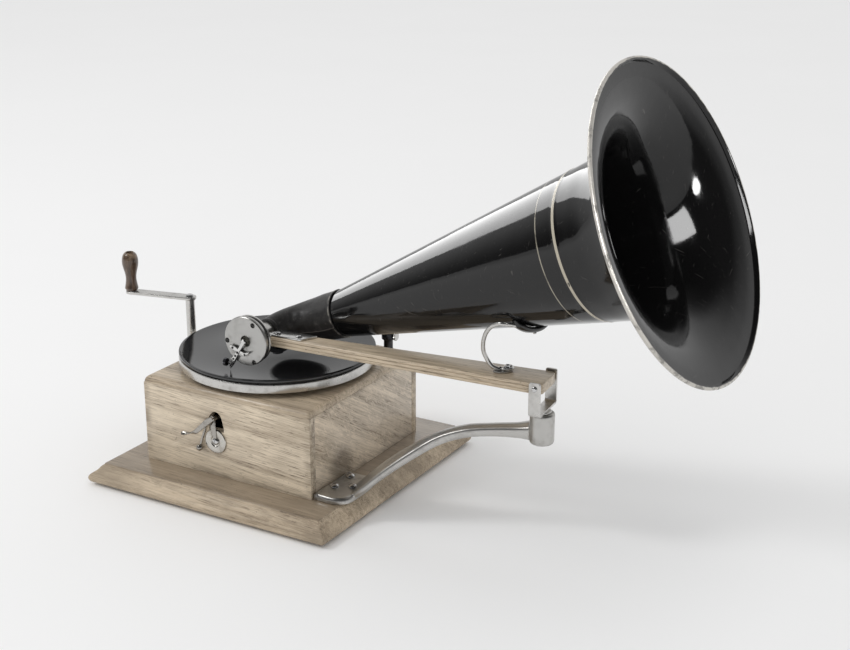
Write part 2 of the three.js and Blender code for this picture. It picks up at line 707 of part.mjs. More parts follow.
// On the left board: a guard over the winding pinion, a spine and an upper bearing lug.
function crankBracket() {
  const outline = [
    [-CASE_X, -60], [-100, -60], [-107, -50], [-112.6, -32], [-114, -6],
    [-113.6, 8], [-108, 15.4], [-100, 18], [-CASE_X, 18],
  ];
  const inside = [
    [-87, -58.4], [-99.2, -58.4], [-105.6, -49.2], [-111, -31.6], [-112.5, -6],
    [-112.1, 7.2], [-107.2, 13.9], [-99.8, 16.4], [-87, 16.4],
  ];
  const lug = [
    [-91, -9], [-91, 7], [-100, 6.2], [-106.4, 4.4],
    [-109.2, 0], [-109.2, -2.6], [-106.4, -6.8], [-100, -8.6],
  ];
  const guard = cut(slab(outline, BASE_TOP, 33.4), slab(inside, 18, 30.6));
  const spine = box(-CASE_X - 3, -CASE_X, -12, 10, 33, 84);
  const body = union(guard, spine, slab(lug, 77, 84));
  return cut(body, cyl(4.35, 30, 90, 20, ...CRANK))
    .intersect(box(-130, -CASE_X, -80, 40, BASE_TOP, 90));
}

add("crank_shaft", crankShaft(), "nickel", crank);
add("crank_arm", crankArm(), "nickel", crank);
add("crank_knob", crankKnob(), "walnut", crank);
add("crank_bracket", crankBracket(), "nickel");

// ---------------------------------------------------------------- support bracket
// The neck rises from the flange and levels off at the boss.
function bracketNeck() {
  const start = [102.2, -55.5];
  const direction = [0.9747, 0.2235];
  // Distance along, z, half width, thickness.
  const stations = [
    [8, 22.4, 20, 5], [14, 24.4, 21, 6.2], [24, 33, 21.4, 8.4], [40, 47.3, 18.2, 9.5],
    [60, 62.8, 13.4, 9.7], [84, 78.8, 7.8, 9.9], [108, 88.6, 6.8, 10], [132, 92.9, 6.4, 10.4],
    [152, 95, 6.8, 12], [170, 96.4, 7.8, 15],
  ];
  // Across as a share of the half width, up as a share of half the thickness.
  const section = [
    [-1, -0.45], [-0.72, -1], [0.72, -1], [1, -0.45],
    [1, 0.45], [0.5, 1], [-0.5, 1], [-1, 0.45],
  ];
  return skin(stations.map(([along, z, halfWidth, thick], i) => {
    const slope = pathDirection(stations, i);
    return section.map(([across, up]) => {
      const [pointAlong, pointZ] = place([along, z], slope, [0, (up * thick) / 2]);
      const point = place(start, direction, [pointAlong, across * halfWidth]);
      return [...point, Math.max(pointZ, BASE_TOP)];
    });
  }));
}

function supportBracket() {
  const flange = [
    [90.2, -83.6], [93, -86], [105, -87], [115, -85.4], [120.5, -80], [122, -73],
    [121, -40], [115.5, -33.4], [107, -31.6], [98.5, -31.6], [92, -33], [90.2, -36],
  ];
  const boss = [
    [0, BOSS_BOTTOM], [8.8, BOSS_BOTTOM], [10.2, BOSS_BOTTOM + 2],
    [10.3, BOSS_TOP - 1.6], [9, BOSS_TOP], [0, BOSS_TOP],
  ];
  return cut(
    union(bracketNeck(), slab(flange, BASE_TOP, FLANGE_TOP), turned(boss, 22, ...BOSS)),
    cyl(4.09, 91.6, 130, 20, ...BOSS),
    ...BRACKET_SCREWS.flatMap((at) => [
      cyl(2, 15, 40, 12, ...at),
      cyl(4.3, FLANGE_TOP, FLANGE_TOP + 5, 12, ...at),
    ]),
  );
}

function bracketScrew(at) {
  const seat = FLANGE_TOP + 0.05;
  const profile = [
    [0, 9], [1.75, 10.5], [1.75, seat], [4, seat], [3, seat + 2.1], [0, seat + 3],
  ];
  return turned(profile, 12, ...at);
}

add("support_bracket", supportBracket(), "nickel");
BRACKET_SCREWS.forEach((at, i) => add(`bracket_screw_${i + 1}`, bracketScrew(at), "steel"));

// ---------------------------------------------------------------- yoke and beam
// The arm group turns about the boss; the beam runs along its -x.
const arm = addGroup(BOSS);
arm.rotation.z = ARM_TURN;
const pinHole = () => rodY(PIN_HOLE_R, -30, 30, 12, 0, PIN_Z);

// A U strip with rounded ears, on a stem that turns in the boss.
function yoke() {
  const gap = 18, thick = 2, halfWidth = 5;
  const bottom = 117.4, top = 147;
  const ear = [
    [-halfWidth, bottom], [halfWidth, bottom], [halfWidth, top - 3],
    [halfWidth - 1.4, top - 0.8], [0, top], [-halfWidth + 1.4, top - 0.8], [-halfWidth, top - 3],
  ];
  const body = union(
    box(-halfWidth, halfWidth, -gap - thick, gap + thick, bottom, bottom + 2.4),
    slabY(ear, -gap - thick, -gap),
    slabY(ear, gap, gap + thick),
    cyl(4, 92, bottom + 0.4, 20),
    cyl(7.6, BOSS_TOP + 0.1, bottom + 0.2, 20),
  );
  return cut(body, pinHole());
}

function yokePin() {
  return union(
    rodY(1.5, -20.4, 20.4, 12, 0, PIN_Z),
    rodY(2.4, -21.8, -20, 12, 0, PIN_Z),
    rodY(2.4, 20, 21.8, 12, 0, PIN_Z),
  );
}

// Tapered in plan, with a groove along each side and a rounded end at the yoke.
function toneBeam() {
  const bottom = BEAM_TOP - BEAM_THICK;
  // One side of the section from the top down: inset from the side face, z.
  const side = [
    [0.8, BEAM_TOP], [0, BEAM_TOP - 0.8], [0, BEAM_TOP - 2.5], [0.9, BEAM_TOP - 2.9],
    [0, BEAM_TOP - 3.3], [0, bottom + 0.8], [0.8, bottom],
  ];
  // x, share of the full width.
  const stations = [[-250, 1], [-12, 1], [1, 1], [3, 0.97], [4.4, 0.91], [5, 0.8]];
  const rings = stations.map(([x, share]) => {
    const halfWidth = Math.max(15.9 + (x + 20) * 0.0372, 7.4) * share;
    return [
      ...side.map(([inset, z]) => [x, -halfWidth + inset, z]),
      ...side.toReversed().map(([inset, z]) => [x, halfWidth - inset, z]),
    ];
  });
  return cut(
    skin(rings),
    pinHole(),
    cyl(1.6, 130, 150, 10, ...HORN_REST_SCREW),
    ...SOUNDBOX_SCREWS.map((at) => cyl(1.6, 130, 150, 12, ...at)),
  );
}

add("yoke", yoke(), "nickel", arm);
add("yoke_pin", yokePin(), "steel", arm);
add("tone_beam", toneBeam(), "beam", arm);

// ---------------------------------------------------------------- soundbox, facing -Y
const STYLUS_Y = -72.6, SCREW_Z = 122.6;

// Profiles are radius, y.
const HOUSING = [
  [6.8, -34.2], [7.9, -34.2], [7.9, -49.8], [8.7, -49.8], [8.7, -58.6],
  [19.4, -59.8], [21.2, -61], [21.2, -63.4], [6.8, -63.4], [6.8, -34.2],
];
const GASKET = [[16.6, -63.5], [20.8, -63.5], [20.8, -66.3], [16.6, -66.3], [16.6, -63.5]];
const DIAPHRAGM = [[0, -64.7], [16.4, -64.7], [16.4, -65], [0, -65]];
const FACE = [
  [3.8, -66.4], [21.5, -66.4], [22, -67], [22, -69.8], [21.4, -70.4],
  [3.8, -70.4], [3.8, -66.4],
];

// A bar with its foot on the diaphragm and holes for the needle and its screw.
function stylusBar() {
  // Outlines: x, z.
  const bar = [
    [15.4, 145.6], [12.6, 147.4], [9.8, 146.2], [-0.2, 129.6], [-4.6, 122.6],
    [-4.2, 120.4], [-1.6, 119.4], [0.6, 120.4], [4.2, 127.6],
  ];
  const backStrip = [[-1.5, 137.2], [3, 140.4], [12.6, 134.6], [10.6, 131.4]];
  const foot = [[0, -65.2], [1.6, -65.2], [1.6, -71.4], [0, -71.4]];
  const body = union(
    slabY(bar, -73.9, -71.2),
    turnedY(foot, 12, ...SOUNDBOX),
    slabY(backStrip, -71.3, -70.6),
  );
  return cut(
    body,
    rod([-1.4, STYLUS_Y, 127], [-3.3, -72.5, 116], 0.64, 8),
    rodX(1.14, -12, -2.2, 10, STYLUS_Y, SCREW_Z),
  );
}

function needle() {
  return union(
    rod([-1.75, -72.58, 125.2], [-2.9, -72.52, 118.4], 0.55, 8),
    rod([-2.88, -72.52, 118.5], [-3.2, -72.5, 116.62], 0.55, 8, 0.12),
  );
}

function needleScrew() {
  return union(
    rodX(1.05, -3.4, -6.4, 10, STYLUS_Y, SCREW_Z),
    rodX(3.5, -6.2, -9.8, 14, STYLUS_Y, SCREW_Z),
  );
}

// A clamp ring round the soundbox tube, a neck, and a plate screwed on the beam.
function soundboxBracket() {
  const outline = [[-249.6, -6.6], [-219, -7.8], [-210, 7.4], [-249.6, 6.4]];
  const plate = cut(
    slab(outline.map(onBeam), FITTING_BOTTOM, FITTING_TOP),
    ...SOUNDBOX_SCREWS.map((at) => cyl(1.7, 140, 150, 12, ...onBeam(at))),
  );
  const ring = [[8.78, -58.3], [10.2, -58.3], [10.2, -50.4], [8.78, -50.4], [8.78, -58.3]];
  const neckX = SOUNDBOX[0] + 9.2;
  const neck = [[neckX, -57.4], onBeam([-248, -6.6]), onBeam([-248, 6.4]), [neckX, -50.6]];
  return union(plate, turnedY(ring, 28, ...SOUNDBOX), slab(neck, FITTING_BOTTOM, FITTING_TOP));
}

add("soundbox_housing", turnedY(HOUSING, 28, ...SOUNDBOX), "nickel");
add("soundbox_gasket", turnedY(GASKET, 28, ...SOUNDBOX), "black");
add("diaphragm", turnedY(DIAPHRAGM, 24, ...SOUNDBOX), "mica");
add("soundbox_face", turnedY(FACE, 32, ...SOUNDBOX), "nickel");
add("stylus_bar", stylusBar(), "nickel");
add("needle", needle(), "steel");
add("needle_screw", needleScrew(), "blued");
add("soundbox_bracket", soundboxBracket(), "nickel");

// ---------------------------------------------------------------- horn
const HORN_AXIS = new THREE.Vector3(
  Math.cos(HORN_YAW) * Math.cos(HORN_PITCH),
  Math.sin(HORN_YAW) * Math.cos(HORN_PITCH),
  Math.sin(HORN_PITCH),
);
const HORN_BACK = new THREE.Vector3().crossVectors(UP, HORN_AXIS).normalize();
const HORN_UP = new THREE.Vector3().crossVectors(HORN_AXIS, HORN_BACK);

// A point at a distance along the axis; the angle runs from the back (+Y) side upwards.
const hornPoint = (along, radius, angle) => HORN_APEX.clone()
  .addScaledVector(HORN_AXIS, along)
  .addScaledVector(HORN_BACK, radius * Math.cos(angle))
  .addScaledVector(HORN_UP, radius * Math.sin(angle));

// Cone and bell are one sheet, with a rolled edge.
function hornShell() {
  // Distance along the axis, radius.
  const sheet = [
    [HORN_START, HORN_START * HORN_TAN], [387, 387 * HORN_TAN], [415, 66.6], [432, 73.6],
    [444, 83.4], [452.6, 97.6], [457.4, 112], [HORN_END, 126],
  ];
  const roll = [
    [HORN_END + 0.4, 127.6], [HORN_END + 2, HORN_RIM_R],
    [HORN_END + 3.6, 127.6], [HORN_END + 3.6, 125.6],
  ];
  const inner = sheet.map((point, i) => place(point, pathDirection(sheet, i), [0, -SHEET]));
  const profile = [...sheet, ...roll, ...inner.reverse(), sheet[0]];
  return turned(profile.map(([along, radius]) => [radius, along]), 36);
}

const horn = new THREE.Group();
horn.position.copy(HORN_APEX);
horn.quaternion.setFromRotationMatrix(
  new THREE.Matrix4().makeBasis(HORN_BACK, HORN_UP, HORN_AXIS));
root.add(horn);
add("horn", hornShell(), "black", horn);

// ---------------------------------------------------------------- leather elbow
// A bent, widening tube from the soundbox neck to over the horn's small end.
function leatherElbow() {
  const sides = 14, steps = 7;
  const thick = 1.6, startR = 10;
  const overlap = HORN_START + 14;
  const endR = overlap * HORN_TAN + 2.6;
  const start = new THREE.Vector3(SOUNDBOX[0], -36, SOUNDBOX[1]);
  const end = hornPoint(overlap, 0, 0);
  const curve = new THREE.CubicBezierCurve3(
    start,
    start.clone().add(new THREE.Vector3(0, 22, 0)),
    end.clone().addScaledVector(HORN_AXIS, -42),
    end,
  );
  const rings = (inset) => Array.from({ length: steps + 1 }, (_, i) => {
    const share = i / steps;
    const tangent = curve.getTangentAt(share);
    const across = new THREE.Vector3().crossVectors(UP, tangent).normalize();
    const upward = new THREE.Vector3().crossVectors(tangent, across);
    const radius = startR + (endR - startR) * Math.pow(share, 0.85) - inset;
    return ringAround(curve.getPointAt(share), across, upward, radius, sides);
  });
  return skin([...rings(0), ...rings(thick).reverse()], true);
}

add("leather_elbow", leatherElbow(), "leather");

// ---------------------------------------------------------------- horn rest
const CRADLE_ALONG = 316;
const cradleRadius = (along) => along * HORN_TAN + 0.35;
// A point under the horn; the angle runs from straight below towards the back.
const underHorn = (along, radius, degrees) =>
  hornPoint(along, radius, radians(degrees) - Math.PI / 2).toArray();

// Foot on the beam, a C bow, and the end let into the cradle.
const WIRE = [
  [236.8, -27.4, 147.9], [235.4, -29.6, 147.7], [231, -32, 150.6], [227.2, -33.6, 156.4],
  [225.2, -36, 164], [226.2, -38.4, 172.4], [229.4, -40.6, 180.6], [234.6, -42.6, 187.4],
  [241, -43.6, 191.6], [247.6, -42.8, 192.6],
  underHorn(CRADLE_ALONG - 1, cradleRadius(CRADLE_ALONG) + 2.6, -38),
];

// A crescent under the horn, with a groove for the wire.
function hornCradle() {
  const steps = 10;
  const rings = [];
  for (let i = 0; i <= steps; i++) {
    const share = i / steps;
    const halfWidth = 5.2 * Math.pow(Math.sin(Math.PI * (0.14 + 0.78 * share)), 0.6);
    const thick = 1.2 + 5.2 * Math.pow(Math.sin(Math.PI * (0.24 + 0.76 * share)), 0.8);
    const low = CRADLE_ALONG - halfWidth, high = CRADLE_ALONG + halfWidth;
    const ridge = cradleRadius(CRADLE_ALONG) + thick;
    // Distance along the horn, radius.
    const section = [
      [low, cradleRadius(low)],
      [high, cradleRadius(high)],
      [high, cradleRadius(high) + thick * 0.55],
      [CRADLE_ALONG + halfWidth * 0.45, ridge],
      [CRADLE_ALONG - halfWidth * 0.45, ridge],
      [low, cradleRadius(low) + thick * 0.55],
    ];
    rings.push(section.map(([along, radius]) => underHorn(along, radius, -44 + 72 * share)));
  }
  return cut(skin(rings), sweep(WIRE, 2.2, 8, 16));
}

// Spring wire with its foot plate, trimmed flush with the plate's underside.
function hornRestWire() {
  const outline = [
    [-41, -7.2], [-34, -7.4], [-27.6, -2.4], [-27.4, 4.4], [-31.6, 6.6], [-36.6, 5], [-41, -1],
  ];
  const foot = slab(outline.map(onBeam), FITTING_BOTTOM, FITTING_TOP);
  const hole = cyl(1.7, 140, 150, 10, ...onBeam(HORN_REST_SCREW));
  return cut(union(sweep(WIRE, 1.8, 8, 16), foot), hole)
    .intersect(box(150, 400, -200, 200, FITTING_BOTTOM, 300));
}

function hornRestScrew() {
  const seat = FITTING_TOP + 0.05;
  const profile = [
    [0, 137.4], [1.45, 137.8], [1.45, seat], [3.4, seat], [3.1, seat + 1.05], [0, seat + 1.85],
  ];
  return turned(profile, 12, ...onBeam(HORN_REST_SCREW));
}

add("horn_cradle", hornCradle(), "black");
add("horn_rest_wire", hornRestWire(), "nickel");
add("horn_rest_screw", hornRestScrew(), "steel");

// ---------------------------------------------------------------- arm rest
// It stands on the motor board's back right corner.
function armRestPost() {
  const profile = [
    [0, 95], [2.5, 95], [2.5, 99.75], [7.5, 99.75], [7.5, 101.6], [4.6, 102.6],
    [4.25, 104], [4.25, 113], [6.2, 114], [6.2, 121], [0, 122],
  ];
  const [x, y] = REST;
  return cut(turned(profile, 16, x, y), rodX(1.35, x, x + 12, 12, y, 117.6));
}

function armRestThumbscrew() {
  const [x, y] = REST;
  return union(
    rodX(1.25, x + 1.4, x + 7.4, 12, y, 117.6),
    rodX(4, x + 7, x + 9.4, 14, y, 117.6),
  );
}

add("arm_rest_post", armRestPost(), "blued");
add("arm_rest_thumbscrew", armRestThumbscrew(), "nickel");

export default root;
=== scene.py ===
"""A table gramophone: square oak case on a moulded base, turntable with a record, crank on
the left (-x), and on the right (+x) a cast bracket whose yoke holds a wooden beam. The beam
carries the soundbox, a leather elbow and a black horn that opens towards +x and up.
The front of the case faces -y. Lengths are in millimetres unless a comment says metres;
meshes are stored in metres."""
from math import atan2, copysign, cos, exp, hypot, pi, radians, sin, sqrt, tan, tau

import bpy
import bmesh
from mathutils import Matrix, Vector

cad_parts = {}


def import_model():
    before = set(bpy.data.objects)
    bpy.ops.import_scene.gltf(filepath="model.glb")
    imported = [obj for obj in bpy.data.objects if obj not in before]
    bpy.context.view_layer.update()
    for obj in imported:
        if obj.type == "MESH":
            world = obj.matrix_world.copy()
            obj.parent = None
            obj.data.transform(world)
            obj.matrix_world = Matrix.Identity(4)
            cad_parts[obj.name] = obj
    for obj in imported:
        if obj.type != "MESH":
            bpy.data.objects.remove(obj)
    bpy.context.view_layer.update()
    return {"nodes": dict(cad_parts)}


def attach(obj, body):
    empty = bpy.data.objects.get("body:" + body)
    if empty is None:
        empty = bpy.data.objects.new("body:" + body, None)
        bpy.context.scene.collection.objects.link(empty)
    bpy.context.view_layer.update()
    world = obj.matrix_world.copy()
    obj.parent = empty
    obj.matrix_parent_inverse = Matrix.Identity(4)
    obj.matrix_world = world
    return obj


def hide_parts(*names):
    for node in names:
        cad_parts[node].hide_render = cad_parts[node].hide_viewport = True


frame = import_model()

# ---------------------------------------------------------------- driving dimensions
MM = 0.001
BASE_TOP = 19.8                    # the case boards stand on the base here
BOARD_TOP = 93.7
HALF_X, HALF_Y, WALL = 88.9, 88.2, 8.0
FRONT = -HALF_Y                    # y of the case's front face
SPINDLE = (-3.2, -2.1)
CRANK = (-102.6, -1.2)
REST_POST = (70, 70)
SPEED_HOLE = (-20.3, 66.5)         # x, z of the rod through the front board
DISC_CENTRE = (-10.4, 53)          # x, z of the disc on the front board
BOSS_X, BOSS_Y = 272.8, -22.7      # vertical axis of the bracket's boss and of the yoke
BEAM_TURN = radians(5.2)
BEAM_TOP = 145.5
BEAM_DEPTH = 8.8
ON_BEAM = BEAM_TOP + 0.3           # underside of plates that lie on the beam
YOKE_PIN_Z = 142.2
TUBE_X, TUBE_Z = 12.0, 144.3       # soundbox axis, parallel to y

HORN_YAW, HORN_RISE = radians(-1.4), radians(22.4)
HORN_AXIS = Vector((cos(HORN_YAW) * cos(HORN_RISE), sin(HORN_YAW) * cos(HORN_RISE),
                    sin(HORN_RISE)))
HORN_SIDE = Vector((0, 0, 1)).cross(HORN_AXIS).normalized()
HORN_UP = HORN_AXIS.cross(HORN_SIDE)
HORN_APEX = Vector((-52, 4.1, 109))
HORN_SLOPE = tan(radians(9.02))    # radius gained per length along the cone

# Two directions across a turning axis, then the axis itself
X_AXES = (Vector((0, 1, 0)), Vector((0, 0, 1)), Vector((1, 0, 0)))
Y_AXES = (Vector((0, 0, 1)), Vector((1, 0, 0)), Vector((0, 1, 0)))
Z_AXES = (Vector((1, 0, 0)), Vector((0, 1, 0)), Vector((0, 0, 1)))


def horn_point(along, radius, angle):
    """A point in the horn's frame: distance from the cone's apex, radius, angle."""
    return (HORN_APEX + HORN_AXIS * along + HORN_SIDE * (radius * cos(angle))
            + HORN_UP * (radius * sin(angle)))


def beam_point(along, across, z):
    """A point in the beam's frame, which is turned about the boss."""
    return Vector((BOSS_X + along * cos(BEAM_TURN) - across * sin(BEAM_TURN),
                   BOSS_Y + along * sin(BEAM_TURN) + across * cos(BEAM_TURN), z))


def flat_point(x, y, z):
    return Vector((x, y, z))


def front_point(x, z, y):
    return Vector((x, y, z))


# ---------------------------------------------------------------- objects and modifiers
def add_object(name, mesh, material=None):
    """Link a new object from (points, faces) in millimetres."""
    points, faces = mesh
    data = bpy.data.meshes.new(name)
    data.from_pydata([tuple(Vector(p) * MM) for p in points], [], faces)
    bm = bmesh.new()
    bm.from_mesh(data)
    bmesh.ops.remove_doubles(bm, verts=bm.verts, dist=2e-6)
    bmesh.ops.dissolve_degenerate(bm, edges=bm.edges, dist=1e-7)
    bmesh.ops.recalc_face_normals(bm, faces=bm.faces)
    bm.to_mesh(data)
    bm.free()
    ob = bpy.data.objects.new(name, data)
    bpy.context.scene.collection.objects.link(ob)
    if material:
        data.materials.append(material)
    return ob


def apply_modifier(ob, kind, **settings):
    modifier = ob.modifiers.new("step", kind)
    for key, value in settings.items():
        setattr(modifier, key, value)
    graph = bpy.context.evaluated_depsgraph_get()
    graph.update()
    mesh = bpy.data.meshes.new_from_object(ob.evaluated_get(graph))
    ob.modifiers.clear()
    old = ob.data
    ob.data = mesh
    bpy.data.meshes.remove(old)


def boolean(ob, operation, *meshes):
    for mesh in meshes:
        tool = add_object("cutter", mesh)
        apply_modifier(ob, "BOOLEAN", operation=operation, object=tool, solver="EXACT")
        bpy.data.objects.remove(tool)


def bevel(ob, width, segments, angle):
    apply_modifier(ob, "BEVEL", width=width * MM, segments=segments, limit_method="ANGLE",
                   angle_limit=radians(angle))


def finish(ob, body, node=None, angle=32):
    for face in ob.data.polygons:
        face.use_smooth = True
    ob.data.set_sharp_from_angle(angle=radians(angle))
    if node:
        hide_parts(node)
    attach(ob, body)


def make(name, mesh, material, body, node=None, angle=32, cuts=(), edge=None):
    """A whole piece; edge is (bevel width, segments, least angle in degrees)."""
    ob = add_object(name, mesh, material)
    boolean(ob, "DIFFERENCE", *cuts)
    if edge:
        bevel(ob, *edge)
    finish(ob, body, node, angle)


# ---------------------------------------------------------------- mesh builders
def skin(rings, loop=False):
    """Faces between rings of equal length: capped at both ends, or joined in a loop."""
    size, count = len(rings[0]), len(rings)
    faces = []
    for i in range(count if loop else count - 1):
        here, there = i * size, ((i + 1) % count) * size
        for j in range(size):
            after = (j + 1) % size
            faces.append((here + j, here + after, there + after, there + j))
    if not loop:
        faces.append(tuple(range(size))[::-1])
        faces.append(tuple((count - 1) * size + j for j in range(size)))
    return [p for ring in rings for p in ring], faces


def stack(levels, place=flat_point):
    """Skin over (outline, height) levels."""
    return skin([[place(a, b, height) for a, b in outline] for outline, height in levels])


def prism(outline, low, high, place=flat_point):
    return stack([(outline, low), (outline, high)], place)


def box(x0, x1, y0, y1, z0, z1):
    corners = [(x, y, z) for z in (z0, z1) for x, y in ((x0, y0), (x1, y0), (x1, y1), (x0, y1))]
    return corners, [(0, 1, 2, 3), (4, 5, 6, 7), (0, 1, 5, 4), (1, 2, 6, 5), (2, 3, 7, 6),
                     (3, 0, 4, 7)]


def join(*meshes):
    points, faces = [], []
    for more_points, more_faces in meshes:
        start = len(points)
        points += more_points
        faces += [tuple(i + start for i in face) for face in more_faces]
    return points, faces


def circle(centre, side, other, radius, sides):
    return [centre + side * (radius * cos(tau * j / sides))
            + other * (radius * sin(tau * j / sides)) for j in range(sides)]


def lathe(profile, sides, at=(0, 0, 0), axes=Z_AXES, wobble=None):
    """Turn (radius, height) points; a profile that ends where it starts makes a ring.
    wobble(angle, profile index, radius) gives the radius."""
    side, other, axis = axes
    origin = Vector(at)
    closed = profile[0] == profile[-1]
    if closed:
        profile = profile[:-1]
    points, rows, faces = [], [], []
    for k, (radius, height) in enumerate(profile):
        if radius < 1e-6:
            rows.append([len(points)] * sides)
            points.append(origin + axis * height)
            continue
        rows.append(range(len(points), len(points) + sides))
        for j in range(sides):
            angle = tau * j / sides
            reach = wobble(angle, k, radius) if wobble else radius
            points.append(origin + axis * height + side * (reach * cos(angle))
                          + other * (reach * sin(angle)))
    for i in range(len(rows) if closed else len(rows) - 1):
        here, there = rows[i], rows[(i + 1) % len(rows)]
        for j in range(sides):
            after = (j + 1) % sides
            face = tuple(dict.fromkeys((here[j], here[after], there[after], there[j])))
            if len(face) > 2:
                faces.append(face)
    return points, faces


def knurl(depth, ridges):
    """Wavy rim on profile points 3 to 6."""
    return lambda angle, k, radius: radius + (depth * cos(ridges * angle) if 3 <= k <= 6 else 0)


def rounded_rect(half_x, half_y, radius, steps):
    outline = []
    for sign_x, sign_y, start in ((1, 1, 0), (-1, 1, 90), (-1, -1, 180), (1, -1, 270)):
        for i in range(steps + 1):
            angle = radians(start + 90 * i / steps)
            outline.append((sign_x * (half_x - radius) + radius * cos(angle),
                            sign_y * (half_y - radius) + radius * sin(angle)))
    return outline


def spline(points, per, loop=False):
    """Catmull-Rom through points with any number of columns, `per` steps to a span."""
    points = [list(p) for p in points]
    count, out = len(points), []
    for i in range(count if loop else count - 1):
        p1, p2 = points[i], points[(i + 1) % count]
        if loop:
            p0, p3 = points[i - 1], points[(i + 2) % count]
        else:
            p0 = points[i - 1] if i > 0 else [2 * a - b for a, b in zip(p1, p2)]
            p3 = points[i + 2] if i + 2 < count else [2 * b - a for a, b in zip(p1, p2)]
        for k in range(per):
            t = k / per
            out.append([0.5 * (2 * b + (c - a) * t + (2 * a - 5 * b + 4 * c - d) * t * t
                               + (-a + 3 * b - 3 * c + d) * t ** 3)
                        for a, b, c, d in zip(p0, p1, p2, p3)])
    if not loop:
        out.append(points[-1])
    return out


def walk(path):
    """Each station of an open path with its neighbours."""
    last = len(path) - 1
    return [(path[max(i - 1, 0)], p, path[min(i + 1, last)]) for i, p in enumerate(path)]


def upright_frame(before, after):
    """Direction and normal in the xz plane, from two (x, z, ...) stations."""
    along = Vector((after[0] - before[0], 0, after[1] - before[1])).normalized()
    return along, Vector((-along.z, 0, along.x))


def tube(points, radius, sides, per):
    """Round rod along a spline, with rounded ends."""
    path = [Vector(p) for p in spline(points, per)]
    rounding = [(radius * 0.7 * sin(radians(a)), radius * cos(radians(a))) for a in (28, 55, 80)]
    rings, side = [], None
    for i, (before, point, after) in enumerate(walk(path)):
        along = (after - before).normalized()
        side = side or along.orthogonal().normalized()
        side = (side - along * side.dot(along)).normalized()
        stations = [(point, radius)]
        if i == 0:
            stations = [(point - along * d, r) for d, r in rounding[::-1]] + stations
        if i == len(path) - 1:
            stations += [(point + along * d, r) for d, r in rounding]
        rings += [circle(c, side, along.cross(side), r, sides) for c, r in stations]
    return skin(rings)


def axes_along(direction):
    axis = Vector(direction).normalized()
    side = axis.orthogonal().normalized()
    return side, axis.cross(side), axis


def rod(start, end, radius, sides=24, end_radius=None):
    """Straight rod with a small chamfer at each end."""
    line = Vector(end) - Vector(start)
    length = line.length
    trim = min(0.25, radius * 0.2)
    tip = radius if end_radius is None else end_radius
    profile = [(0, 0), (radius - trim, 0), (radius, trim), (tip, length - trim),
               (max(tip - trim, 0.01), length), (0, length)]
    return lathe(profile, sides, start, axes_along(line))


def screw(at, direction, radius, height, sides=32, slot=0.5, turn=0.4, sink=0.4, shaft=0.0):
    """A domed head based at `at`, and the block that cuts its slot."""
    at = Vector(at)
    side, other, axis = axes = axes_along(direction)
    if shaft:
        stem = [(0, -shaft), (radius * 0.45, -shaft), (radius * 0.45, 0)]
    else:
        stem = [(0, -sink), (radius, -sink)]
    dome = [(1, 0), (0.985, 0.28), (0.9, 0.6), (0.72, 0.84), (0.42, 0.97), (0, 1)]
    head = lathe(stem + [(radius * r, height * h) for r, h in dome], sides, at, axes)
    length = side * cos(turn) + other * sin(turn)
    width = other * cos(turn) - side * sin(turn)
    floor = at + axis * (height * 0.72)
    corners = [floor + length * (a * radius * 1.3) + width * (b * slot) + axis * (c * height)
               for c in (0, 1.2) for a, b in ((-1, -0.5), (1, -0.5), (1, 0.5), (-1, 0.5))]
    return head, (corners, [(0, 1, 2, 3), (7, 6, 5, 4), (0, 4, 5, 1), (1, 5, 6, 2),
                            (2, 6, 7, 3), (3, 7, 4, 0)])


def make_screws(name, heads, material, body, node=None):
    solids, slots = zip(*heads)
    make(name, join(*solids), material, body, node, 40, cuts=[join(*slots)])


# ---------------------------------------------------------------- shader nodes (metres)
class Field:
    """A value in a node tree; arithmetic on it adds Math nodes."""

    def __init__(self, nodes, socket):
        self.nodes, self.socket = nodes, socket

    def __add__(self, other):
        return self.nodes.math("ADD", self, other)

    def __radd__(self, other):
        return self.nodes.math("ADD", other, self)

    def __sub__(self, other):
        return self.nodes.math("SUBTRACT", self, other)

    def __rsub__(self, other):
        return self.nodes.math("SUBTRACT", other, self)

    def __mul__(self, other):
        return self.nodes.math("MULTIPLY", self, other)

    def clamp(self):
        """Keep the last Math result between 0 and 1."""
        self.socket.node.use_clamp = True
        return self


class Nodes:
    def __init__(self, tree):
        self.tree = tree

    def put(self, socket, value):
        if isinstance(value, Field):
            self.tree.links.new(value.socket, socket)
            return
        if socket.type == "RGBA":
            value = (*value, 1)
        socket.default_value = value

    def add(self, kind, inputs=(), **settings):
        node = self.tree.nodes.new(kind)
        for key, value in settings.items():
            setattr(node, key, value)
        for key, value in dict(inputs).items():
            self.put(node.inputs[key], value)
        return node

    def field(self, kind, inputs=(), output=0, **settings):
        return Field(self, self.add(kind, inputs, **settings).outputs[output])

    def math(self, operation, first, second=0.0):
        return self.field("ShaderNodeMath", {0: first, 1: second, 2: 0.0}, operation=operation)

    def vector(self, operation, first, second=None):
        inputs = {0: first} if second is None else {0: first, 1: second}
        output = "Value" if operation in ("DOT_PRODUCT", "LENGTH") else "Vector"
        return self.field("ShaderNodeVectorMath", inputs, output, operation=operation)

    def split(self, vector):
        node = self.add("ShaderNodeSeparateXYZ", {0: vector})
        return [Field(self, output) for output in node.outputs]

    def smooth(self, value, low, high, at_low=0.0, at_high=1.0):
        """Smooth change as value goes from low to high."""
        return self.field("ShaderNodeMapRange",
                          {0: value, 1: low, 2: high, 3: at_low, 4: at_high},
                          interpolation_type="SMOOTHSTEP")


